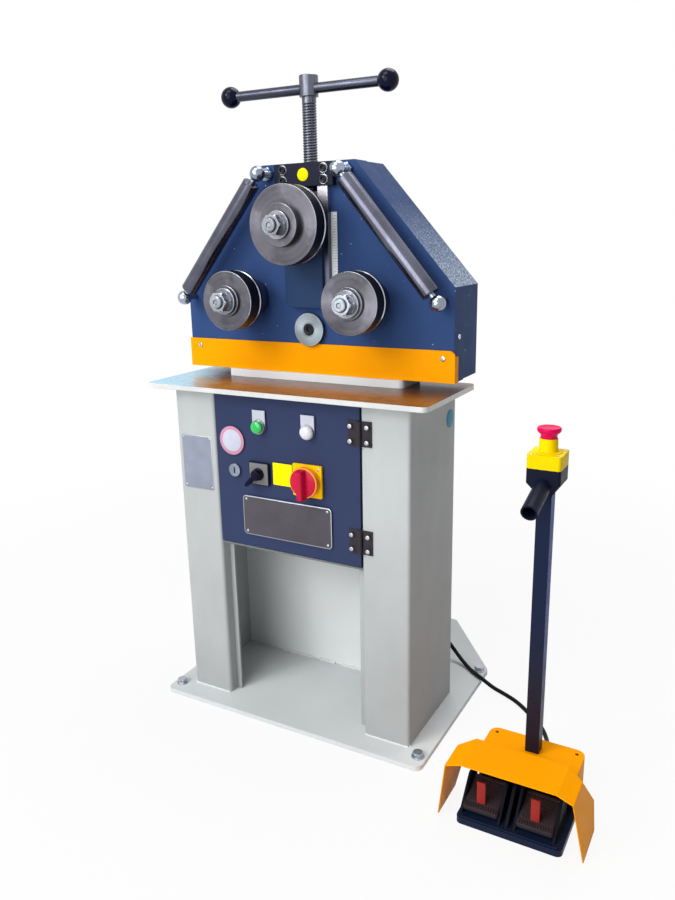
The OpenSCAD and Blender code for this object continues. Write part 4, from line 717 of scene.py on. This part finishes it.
def make_cable():
    data = bpy.data.curves.new("foot_cable", "CURVE")
    data.dimensions = "3D"
    data.bevel_depth = CABLE_D / 2 * MM
    data.bevel_resolution = 5
    data.resolution_u = 8
    data.use_fill_caps = True
    spline = data.splines.new("BEZIER")
    spline.bezier_points.add(len(CABLE) - 1)
    for point, place in zip(spline.bezier_points, CABLE):
        point.co = Vector(place) * MM
        point.handle_left_type = "AUTO"
        point.handle_right_type = "AUTO"
    made = bpy.data.objects.new("foot_cable", data)
    scene.collection.objects.link(made)
    data.materials.append(RUBBER)
    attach(made, "frame")
    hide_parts("pedal_cable")


make_cable()


# Rolls with their nuts, and the disc on the pinion's end

def make_roll(name, x, z, r):
    """Roll with a narrow rear flange, a groove and a knurled rim."""
    width = ROLL_BACK_Y - ROLL_FRONT_Y
    flange, rim, depth, bevel = 8.5, 12, 8, 1.5
    count = 240

    def knurl(angle):
        return r - 0.35 * (round(angle / (2 * math.pi) * count) % 2)

    roll = Piece()
    # The chamfers take the bright plating as a painted edge highlight on the roll.
    roll.lathe(front_at(x, ROLL_BACK_Y, z), [
        (ROLL_BORE_R, 0), (r - bevel, 0, 0), (r, bevel, 2), (r, flange - bevel, 1),
        (r - bevel, flange, 2), (r - depth, flange, 1), (r - depth, rim, 1), (r - bevel, rim, 1),
        (knurl, rim + bevel, 2), (knurl, width - 1, 1), (r - 1, width, 2), (ROLL_BORE_R, width, 0),
    ], count, closed=True)
    roll.done(f"{name}_roll_turned", f"{name}_roller", "bright_steel",
              [ROLL_STEEL[name], RIM_STEEL, CHROME], f"{name}_roll")


def make_fastening(name, x, z):
    """Spacer, washer, nut and the shaft's threaded end in front of a roll."""
    spacer_r, spacer_t = (40, 15) if name == "upper" else (31, 6)
    washer_r, washer_t = 26, 5
    bore_r, end_r = 12.1, 11.6
    across, nut_h = 36, 20
    front = front_at(x, ROLL_FRONT_Y, z)
    nut = spacer_t + washer_t
    top = nut + nut_h
    tip = top + 5
    stack = Piece()
    # The spacer's side is dark steel as painted shade between spacer and roll.
    stack.lathe(front, [
        (ROLL_BORE_R, 0), (spacer_r, 0), (spacer_r, spacer_t - 1, 2), (spacer_r - 1, spacer_t, 0),
        (ROLL_BORE_R, spacer_t, 3),
    ], 96, closed=True)
    stack.lathe(front, [
        (bore_r, spacer_t), (washer_r - 0.8, spacer_t), (washer_r, spacer_t + 0.8, 2),
        (washer_r, nut - 0.8, 2), (washer_r - 0.8, nut, 1), (bore_r, nut, 0),
    ], 96, closed=True)
    stack.lathe(front, [
        (bore_r, nut, 1), (hexagon(across, 18.6), nut, 1), (hexagon(across), nut + 1.6, 1),
        (hexagon(across), top - 2, 1), (hexagon(across, 18), top, 1), (13.6, top, 1),
        (bore_r, top - 1.5, 1),
    ], 96, material=1, closed=True)
    stack.lathe(front, [
        (end_r, top - 1, 1), (end_r, tip, 1), (end_r - 1.2, tip + 1.5, 1), (5.2, tip + 1.5, 1),
        (2.6, tip - 1.2, 2),
    ], 48, material=1)
    stack.done(f"{name}_roll_fastening", f"{name}_roller", "bright_plating",
               [WASHER_STEEL[name], CHROME, DARK_STEEL, ROLL_STEEL[name]], f"{name}_roll_nut")


for roll_name, (roll_x, roll_z, roll_r) in ROLLS.items():
    make_roll(roll_name, roll_x, roll_z, roll_r)
    make_fastening(roll_name, roll_x, roll_z)


def make_disc():
    """Disc over the end of the pinion's shaft, held by a socket screw."""
    place = front_at(0, DISC_Y, DISC_Z)
    disc = Piece()
    disc.lathe(place, [
        (25, -3), (25, 0), (33, 0), (33.5, 0.5), (33.5, 6.3), (32.8, 7), (12.4, 7), (11.8, 6.4), (11.8, 2),
    ], 96)
    disc.socket_screw(place @ Matrix.Translation((0, 0, 2)), 11.2, 5.6, 11, 1)
    disc.done("pinion_end_disc", "pinion", "bright_steel", [DISC_STEEL, SCREW_BLACK], "pinion_disc")


make_disc()


def helix(radius, depth, pitch, height):
    """Radius of a screw thread at a height, as a function of the angle."""
    def reach(angle):
        phase = (height / pitch - angle / (2 * math.pi)) % 1
        return radius - depth * max(0, 1 - abs(2 * phase - 1) * 1.6)
    return reach


def make_spindle():
    """Feed spindle: collar, screw thread, neck and the hub that holds the turning bar."""
    radius, depth, pitch = 14, 1.9, 5
    low, high, step = 1087.3, 1250, pitch / 8
    collar_r, collar_low, collar_high = 20, 1071, 1081.7
    neck_r, hub_r, hub_low, hub_top = 13.7, 18.25, 1260, 1298
    levels = [low + step * k for k in range(int((high - low) / step) + 1)]
    rows = [(collar_r, collar_low), (collar_r, collar_high), (radius, collar_high), (radius, low - 0.4)]
    rows += [(helix(radius, depth, pitch, level), level) for level in levels]
    rows += [(neck_r, high + 0.5), (neck_r, hub_low - 0.4), (17.6, hub_low), (hub_r, hub_low + 0.7)]
    rows += [(hub_r, hub_top - 0.8), (17.4, hub_top), (6, hub_top)]
    spindle = Piece()
    spindle.lathe(place_at((0, SPINDLE_Y, 0), UP), rows, 40)
    spindle.done("spindle_threaded", "screw", "dark_steel", [SPINDLE_STEEL], "spindle")


make_spindle()


def make_bar():
    """Turning bar through the spindle's hub."""
    radius, length, left_part, height = 9.5, 339, 176, 1274.5
    turn = math.radians(2.3)
    direction = Vector((math.cos(turn), math.sin(turn), 0))
    start = Vector((0, SPINDLE_Y, height)) - left_part * direction
    bar = Piece()
    bar.lathe(place_at(start, direction), [
        (radius - 1, 0), (radius, 1), (radius, length - 1), (radius - 1, length),
    ], 64)
    bar.done("turning_bar_round", "screw", "bright_steel", [BAR_STEEL], "turning_bar")


make_bar()


def make_tube(side, sign):
    """Free tube of a side support, with chamfered ends, around the rod between two ball studs."""
    top, low = (Vector((sign * x, SUPPORT_Y, z)) for x, z in STUDS[2:])
    radius, bore_r, bevel = 17, 6.1, 1.5
    top_gap, low_gap = 22, 21
    length = (low - top).length - (top_gap + low_gap)
    place = place_at(top, low - top) @ Matrix.Translation((0, 0, top_gap))
    tube = Piece()
    tube.lathe(place, [
        (bore_r, 0), (radius - bevel, 0), (radius, bevel), (radius, length - bevel),
        (radius - bevel, length), (bore_r, length),
    ], 64, closed=True)
    tube.done(f"{side}_support_tube", f"{side}_support", "dark_steel", [TUBES[side]],
              f"{side}_support_roller")


for tube_side, tube_sign in (("left", -1), ("right", 1)):
    make_tube(tube_side, tube_sign)


# Door controls

def make_switch():
    """Yellow plate and red handle of the main switch, and the selector's plate."""
    plate_w, plate_t = 66, 5
    plates = Piece()
    plates.slab(front_at(SWITCH_X, DOOR_Y, SWITCH_Z), rounded(plate_w, plate_w, 3), plate_t, 1.2, 0)
    plates.lathe(front_at(SWITCH_X, DOOR_Y - plate_t, SWITCH_Z), [(27, 0), (27, 3), (26, 4)], 64, 0)
    for side in (-1, 1):
        spot = (SWITCH_X + side * 26, DOOR_Y - plate_t, SWITCH_Z + side * 26)
        plates.screw(place_at(spot, FRONT), 3, 1.2, cross(1.8), 3)
    plates.slab(front_at(SELECTOR_X, DOOR_Y, SWITCH_Z), rounded(48, 48, 2.5), 4.6, 0.8, 2)
    plates.slab(front_at(SELECTOR_X, DOOR_Y - 4.4, SWITCH_Z), rounded(44, 44, 2), 1, 0.5, 1)
    plates.done("control_plates", "door", "plate_metal", [YELLOW, SELECT_PLATE, BLACK, ZINC], "door_plates")

    disc = front_at(SWITCH_X, -268, SWITCH_Z)
    handle = Piece()
    # The handle's rim and side take the orange as a painted highlight.
    handle.lathe(disc, [
        (26, 0, 1), (30, 0.5, 1), (31, 2, 1), (31, 9, 1), (30.2, 10.5, 1), (28.6, 11, 1), (28.4, 10.2, 0),
        (26, 11.5, 0), (18, 13, 0), (8, 13.4, 0),
    ], 96, 1)
    grip = [(-6, -33), (6, -33), (7.5, -27), (7.5, 22), (5.5, 27), (-5.5, 27), (-7.5, 22), (-7.5, -27)]
    handle.skin(disc, [
        (inset(grip, -1.5), 9), (grip, 18), (inset(grip, 0.8), 24), (inset(grip, 2), 26.5),
        (inset(grip, 3.2), 27.5),
    ], 0)
    handle.done("switch_knob", "main_switch", "red_plastic", [SWITCH_RED, RIM_HIGHLIGHT_ORANGE],
                "switch_handle", sharp=28)


make_switch()


def make_selector():
    """Round knob with a lever that points down to the left."""
    place = front_at(SELECTOR_X, DOOR_Y - 5.4, SWITCH_Z)
    knob = Piece()
    knob.lathe(place, [(13, 0), (13, 3), (11.5, 5), (11, 13), (10, 15), (7, 16.5), (3, 17)], 48)
    lever = [(-4.5, -8), (4.5, -8), (4, 22), (3.4, 30), (1.8, 33), (-1.8, 33), (-3.4, 30), (-4, 22)]
    turn = place @ Matrix.Rotation(math.radians(135), 4, "Z")
    knob.skin(turn, [
        (lever, 5), (inset(lever, -0.8), 9), (inset(lever, -0.8), 14), (inset(lever, 0.5), 17.5),
        (inset(lever, 1.8), 18.6),
    ])
    knob.done("selector_knob", "selector", "black_plastic", [GLOSS_BLACK], "selector_lever", sharp=30)


make_selector()


def label_tag(half, top):
    """Outline of a label plate that is round at its foot."""
    foot = [(half * math.cos(a), half * math.sin(a)) for a in
            [math.pi + math.pi * k / 16 for k in range(1, 16)]]
    return [(-half, top), (-half, 0)] + foot + [(half, 0), (half, top)]


def make_lamps():
    """Start button and lamp with their label plates, and the switch bodies behind the door."""
    tag_t = 2
    fittings = Piece()

    def switch_body(x, z, width):
        fittings.slab(place_at((x, DOOR_BACK_Y, z), BACK), rounded(width, width, 4), 46, 1.5, 3)

    for x in (-LAMP_X, LAMP_X):
        fittings.slab(front_at(x, DOOR_Y, LAMP_Z), label_tag(15, 33), tag_t, 0.5, 0)
        switch_body(x, LAMP_Z, 42)
    switch_body(SWITCH_X, SWITCH_Z, 46)
    switch_body(SELECTOR_X, SWITCH_Z, 42)
    start = front_at(-LAMP_X, DOOR_Y - tag_t, LAMP_Z)
    fittings.lathe(start, [
        (13.4, 0, 1), (15.2, 0, 1), (15.2, 4, 1), (14.6, 5, 1), (13.4, 5, 1),
    ], 48, 1, closed=True)
    lamp = front_at(LAMP_X, DOOR_Y - tag_t, LAMP_Z)
    cap = [(*row, 2) for row in dome(14.5, 4, 9)]
    fittings.lathe(lamp, [(15, 0, 1), (15, 3, 1), (14.5, 4, 1)] + cap[1:], 48, 1)
    fittings.done("lamp_and_labels", "door", "electric_plastic", [LIGHT_PLATE, ZINC, WHITE_LENS, ELECTRIC],
                  "door_fittings")

    button = Piece()
    button.lathe(start, [(11, -4), (11, 5), (13, 5.6), (13, 8)] + dome(13, 9, 5), 48)
    button.done("start_dome", "start", "green_plastic", [GREEN_LENS], "start_button")


make_lamps()


def make_door_trim():
    """Bare name plate, labels and the lock's key slot."""
    trim = Piece()
    name_plate = front_at(0, DOOR_Y, 449.5)
    trim.slab(name_plate, rounded(210, 85, 8), 1.2, 0.4, 1)
    trim.slab(name_plate, rounded(206, 81, 6.5), 1.8, 0.4, 0)
    for x in (-96, 96):
        for z in (414.5, 484.5):
            trim.rivet(front_at(x, DOOR_Y - 1.7, z), 3, 1.6, 1)
    trim.slab(front_at(-5.5, DOOR_Y, 547), rounded(45, 46, 1.5), 0.5, 0.2, 2)
    sticker = front_at(-126, DOOR_Y, 605)
    trim.disc(sticker, 30, 0.4, 3)
    trim.disc(sticker, 23, 0.6, 4)
    trim.done("door_labels", "door", "plate_metal", [NAME_GREY, BRUSHED, LABEL_YELLOW, PINK, LAVENDER])

    slot = Piece()
    slot.slab(front_at(LOCK_X, DOOR_Y - 3, SWITCH_Z), rounded(3, 13, 1, 3), 0.3, 0.1)
    slot.done("key_slot", "door_lock", "black_plastic", [BLACK])


make_door_trim()


def make_hinge_screws():
    for body, name, x in (("frame", "hinge_leaf_screws", 185.5), ("door", "door_leaf_screws", 150.5)):
        screws = Piece()
        for z in HINGE_FEET:
            for rise in (10, 39):
                screws.screw(front_at(x, HINGE_Y, z + rise), 4.4, 1.6, cross(2.6))
        screws.done(name, body, "bright_plating", [ZINC])


make_hinge_screws()


# Bolts and small trim of the head and the stand

def make_bolts():
    """Floor bolts on washers, and the socket screws of the cap block."""
    across, washer_t = 19, 1.5
    bolts = Piece()
    for x, y in ANCHORS:
        place = place_at((x, y, BASE_TOP_Z), UP, spin=20)
        bolts.lathe(place, [
            (4, 0), (12.6, 0), (13, 0.5), (13, 2), (12.4, 2.5), (4, 2.5),
        ], 48, 0, closed=True)
        bolts.lathe(place, [
            (hexagon(across, 10), 2.5), (hexagon(across), 3.2), (hexagon(across), 9),
            (hexagon(across, 9.6), 10.5), (4, 10.6),
        ], 48, 0)
    for x, z in CAP_SCREWS:
        place = front_at(x, CAP_Y, z)
        bolts.lathe(place, [
            (4, 0), (9.2, 0), (9.5, 0.3), (9.5, 1.2), (9.2, washer_t), (4, washer_t),
        ], 48, 1, closed=True)
        bolts.socket_screw(place @ Matrix.Translation((0, 0, washer_t)), 7.5, 4.5, 6.5, 2)
    bolts.done("floor_and_cap_bolts", "frame", "bright_plating", [ANCHOR_STEEL, CHROME, SCREW_BLACK],
               "fixing_bolts")


make_bolts()


def make_head_trim():
    """Nuts of the upper ball studs, screws of the strip and sides, the cap's yellow spot, the ruler."""
    across, side_x = 24, 307
    ruler_x, ruler_w, ruler_h, ruler_t = 58, 13.3, 164, 1.2
    tick_low, tick_step, ticks = 887, 5, 33
    trim = Piece()
    for x, z in STUDS[::2]:
        trim.lathe(place_at((x, FACE_Y, z), FRONT, spin=12), [
            (hexagon(across, 12.6), 0), (hexagon(across), 0.8), (hexagon(across), 9),
            (hexagon(across, 12.4), 10.5), (7, 10.5),
        ], 48, 4)
    for x in (-282, 286):
        trim.screw(front_at(x, STRIP_Y, 779), 5, 2.2, cross(2.6), 0)
    for x, outward in ((side_x, RIGHT), (-side_x, LEFT)):
        trim.screw(place_at((x, -117, 818), outward), 5, 2.2, cross(2.6), 0)
    trim.disc(front_at(0, CAP_Y, CAP_Z), 12, 0.6, 1)
    trim.slab(front_at(ruler_x, FACE_Y, 967), rounded(ruler_w, ruler_h, 0.6), ruler_t, 0.3, 2)
    for k in range(ticks):
        long = 8 if k % 5 == 0 else 4.5
        tick = front_at(64 - long / 2, FACE_Y - ruler_t, tick_low + tick_step * k)
        trim.slab(tick, rounded(long, 0.6, 0.1, 1), 0.15, 0.05, 3)
    trim.done("head_trim", "frame", "bright_plating",
              [CHROME, LABEL_YELLOW, RULER_WHITE, TICK, BALL_PLATING])


make_head_trim()


def make_stand_trim():
    """Bare type plate, round label, door stops along the legs and the welds at the feet."""
    trim = Piece()
    plate = front_at(-220, COLUMN_Y, 547)
    trim.slab(plate, rounded(78, 118, 3), 0.8, 0.3, 2)
    trim.slab(plate, rounded(74, 114, 2), 1, 0.2, 0)
    for x in (-34, 34):
        for z in (-53, 53):
            trim.rivet(plate @ Matrix.Translation((x, z, 1)), 2.4, 1.2, 2)
    trim.disc(place_at((270, -60, 646.5), RIGHT), 19, 0.5, 1)
    trim.done("stand_trim", "frame", "plate_metal", [TYPE_PLATE, TEAL, BRUSHED])

    stops = Piece()
    for x, width in ((-163.5, 11), (159, 20)):
        stops.slab(front_at(x, -227, 357), rounded(width, 693, 0.8, 2), 2.5, 0.6)
    stops.done("door_stops", "frame", "stand_paint", [STAND])

    weld = Piece()
    corner = (NICHE_BACK_Y - 1, BASE_TOP_Z + 1)
    for start, end in ((-166, -80), (-62, -20), (0, 90), (112, 160)):
        weld.bead((start, *corner), (end, *corner), 3.4)
    for side in (-1, 1):
        front = (COLUMN_Y, BASE_TOP_Z)
        weld.bead((side * 172, *front), (side * 268, *front), 2)
        weld.bead((side * 270, COLUMN_Y + 3, BASE_TOP_Z), (side * 270, NICHE_BACK_Y, BASE_TOP_Z), 2)
    weld.done("foot_welds", "frame", "stand_paint", [PALE])


make_stand_trim()


def make_rear_screws():
    """Screws that hold the head's rear cover and the stand's back panel."""
    screws = Piece()
    for side in (-1, 1):
        for x, z in ((286, 754), (286, 896), (104, 1122)):
            screws.screw(place_at((side * x, COVER_Y, z), BACK), 6, 2.6, cross(3.4))
        for z in (40, 358, 676):
            screws.screw(place_at((side * 252, PANEL_Y, z), BACK), 5, 2.2, cross(2.8))
    screws.done("rear_screws", "frame", "bright_plating", [ZINC])


make_rear_screws()


# Pedal station

def make_pedal(side, x):
    """Pedal with a grained face, a comb along its front edge and an upright red flap."""
    place = (
        Matrix.Translation(Vector((x, *PEDAL_PIVOT)))
        @ Matrix.Rotation(math.radians(180), 4, "Z")
        @ Matrix.Rotation(math.radians(-PEDAL_SLOPE), 4, "X")
    )
    width, depth = 62.4, 69
    outline = rounded(width, depth, 4)
    sole = place @ Matrix.Translation((0, depth / 2, -4.5))
    pedal = Piece()
    pedal.skin(sole, [(outline, 0), (outline, 7), (inset(outline, 0.6), 8.2), (inset(outline, 1.8), 8.8)])
    for row in range(12):
        for column in range(14):
            spot = sole @ Matrix.Translation((-26 + 4 * column, -26 + 4 * row, 8.8))
            pedal.lathe(spot, [(1.5, -0.2), (1.3, 0.6), (0.7, 0.9)], 6)
    for k in range(13):
        pedal.slab(sole @ Matrix.Translation((-27 + 4.5 * k, 29, 8)), rounded(2.2, 9, 0.8, 3), 2.4, 0.6)
    axle = place @ Matrix.Rotation(math.radians(90), 4, "Y") @ Matrix.Translation((0, 0, -31))
    pedal.lathe(axle, [(5, 0), (5.5, 0.5), (5.5, 61.5), (5, 62)], 32)
    flap = front_at(x - 2, -369, 55)
    pedal.slab(flap, rounded(15.5, 44, 1.5), 2.5, 0.7, 1)
    pedal.slab(flap @ Matrix.Translation((0, 20, 0)), rounded(15.5, 4, 1.2), 5, 0.8, 1)
    pedal.done(f"{side}_pedal_tread", f"pedal_{side}", "pedal_plastic", [PEDAL_BLACK, INSERT_RED],
               f"{side}_pedal", sharp=40)


for pedal_side, pedal_x in PEDAL_X.items():
    make_pedal(pedal_side, pedal_x)


def make_station_trim():
    """Raised lip along the front of the pedal base."""
    lip = Piece()
    lip.slab(place_at((STATION_X, STATION_FRONT_Y + 5, 11.8), UP), rounded(170, 4, 1.8), 2.2, 0.8)
    lip.done("pedal_base_lip", "frame", "pedal_plastic", [PEDAL_NAVY])


make_station_trim()


def make_stop():
    """Mushroom button with a skirt around its neck, the sleeve under it and the cover's screws."""
    button = Piece()
    place = place_at((STATION_X, POLE_Y, STOP_TOP_Z), UP)
    button.lathe(place, [
        (7.8, -4), (7.8, 23.4), (12.8, 23.4), (12.8, 17.2), (13.6, 17.2), (13.6, 29), (14.6, 31),
        (16.4, 32.6), (18.8, 35), (19.8, 37), (20, 39), (19.7, 41), (19, 42.1), (18, 42.5), (16.8, 42),
        (5, 41.6),
    ], 64)
    button.done("stop_mushroom", "stop", "red_plastic", [STOP_RED], "stop_button")
    sleeve = Piece()
    sleeve.lathe(place, [
        (14, -0.2), (23, -0.2), (23, 1), (22.4, 1.5), (17, 1.7), (16, 4), (15, 23.5), (14.6, 24), (14, 24),
    ], 64, closed=True)
    sleeve.done("stop_sleeve", "frame", "yellow_plastic", [STOP_YELLOW])
    screws = Piece()
    for sx in (-1, 1):
        for sy in (-1, 1):
            spot = (STATION_X + sx * 22, POLE_Y + sy * 22, STOP_TOP_Z - 0.4)
            screws.screw(place_at(spot, UP), 3.2, 0.9, cross(2.1), 0)
    screws.done("stop_cover_screws", "frame", "bright_plating", [ZINC])


make_stop()


# Floor, light and view

def seen_rays(tree):
    """Socket that is 1 for camera, glossy and transmission rays."""
    path = tree.nodes.new("ShaderNodeLightPath")
    seen = path.outputs["Is Camera Ray"]
    for other in ("Is Glossy Ray", "Is Transmission Ray"):
        either = tree.nodes.new("ShaderNodeMath")
        either.operation = "MAXIMUM"
        tree.links.new(seen, either.inputs[0])
        tree.links.new(path.outputs[other], either.inputs[1])
        seen = either.outputs[0]
    return seen


def make_floor():
    """White floor that fades into the background away from the object and keeps its shadow near it."""
    mesh = bpy.data.meshes.new("floor")
    edge = 30
    corners = [(-edge, -edge, 0), (edge, -edge, 0), (edge, edge, 0), (-edge, edge, 0)]
    mesh.from_pydata(corners, [], [(0, 1, 2, 3)])
    floor = bpy.data.objects.new("floor", mesh)
    floor.location.z = -0.0005
    scene.collection.objects.link(floor)
    graph = Graph("floor_white", Roughness=0.8, Specular_IOR_Level=0.1)
    graph.set("Base_Color", graph.mix(graph.noise(0.8, 3), (0.7, 0.7, 0.7, 1), (0.76, 0.76, 0.76, 1)))
    seen = seen_rays(graph.tree)
    away = graph.remap(graph.vector("LENGTH", graph.coords(), out=1), 0.7, 2.0, 0.9, 1.0)
    glow = graph.add("Emission", Color=(1, 1, 1, 1), Strength=1.0)
    blend = graph.add("MixShader", Fac=graph.math("MULTIPLY", seen, away))
    graph.tree.links.new(graph.shader.outputs[0], blend.inputs[1])
    graph.tree.links.new(glow.outputs[0], blend.inputs[2])
    graph.tree.links.new(blend.outputs[0], graph.tree.nodes["Material Output"].inputs["Surface"])
    mesh.materials.append(graph.material)


def make_world():
    """Soft grey light all round that shows as white to the camera and in reflections."""
    world = bpy.data.worlds.new("studio")
    world.use_nodes = True
    scene.world = world
    tree = world.node_tree
    ambient = tree.nodes["Background"]
    ambient.inputs["Color"].default_value = (0.95, 0.97, 1, 1)
    ambient.inputs["Strength"].default_value = 0.2
    white = tree.nodes.new("ShaderNodeBackground")
    white.inputs["Color"].default_value = (1, 1, 1, 1)
    white.inputs["Strength"].default_value = 1.0
    seen = seen_rays(tree)
    blend = tree.nodes.new("ShaderNodeMixShader")
    tree.links.new(seen, blend.inputs[0])
    tree.links.new(ambient.outputs[0], blend.inputs[1])
    tree.links.new(white.outputs[0], blend.inputs[2])
    tree.links.new(blend.outputs[0], tree.nodes["World Output"].inputs["Surface"])


# Place, target and disc size in metres, and power in watts
LAMPS = {
    "key": ((-1.6, -3.0, 2.7), (0, 0, 0.7), 1.5, 56),
    "front": ((-0.25, -3.6, 1.5), (0, 0, 0.6), 3.0, 66),
    "overhead": ((-0.3, -1.5, 3.4), (0, -0.1, 0.4), 1.6, 34),
    "rear": ((0.3, 0.8, 3.5), (0.1, 0, 0.6), 2.0, 56),
}


def make_lamp(name, place, target, size, power):
    data = bpy.data.lights.new(name, "AREA")
    data.shape = "DISK"
    data.size = size
    data.energy = power
    lamp = bpy.data.objects.new(name, data)
    lamp.location = place
    lamp.rotation_euler = (Vector(target) - Vector(place)).to_track_quat("-Z", "Y").to_euler()
    scene.collection.objects.link(lamp)


make_floor()
make_world()
for lamp_name, settings in LAMPS.items():
    make_lamp(lamp_name, *settings)
scene.view_settings.view_transform = "Standard"
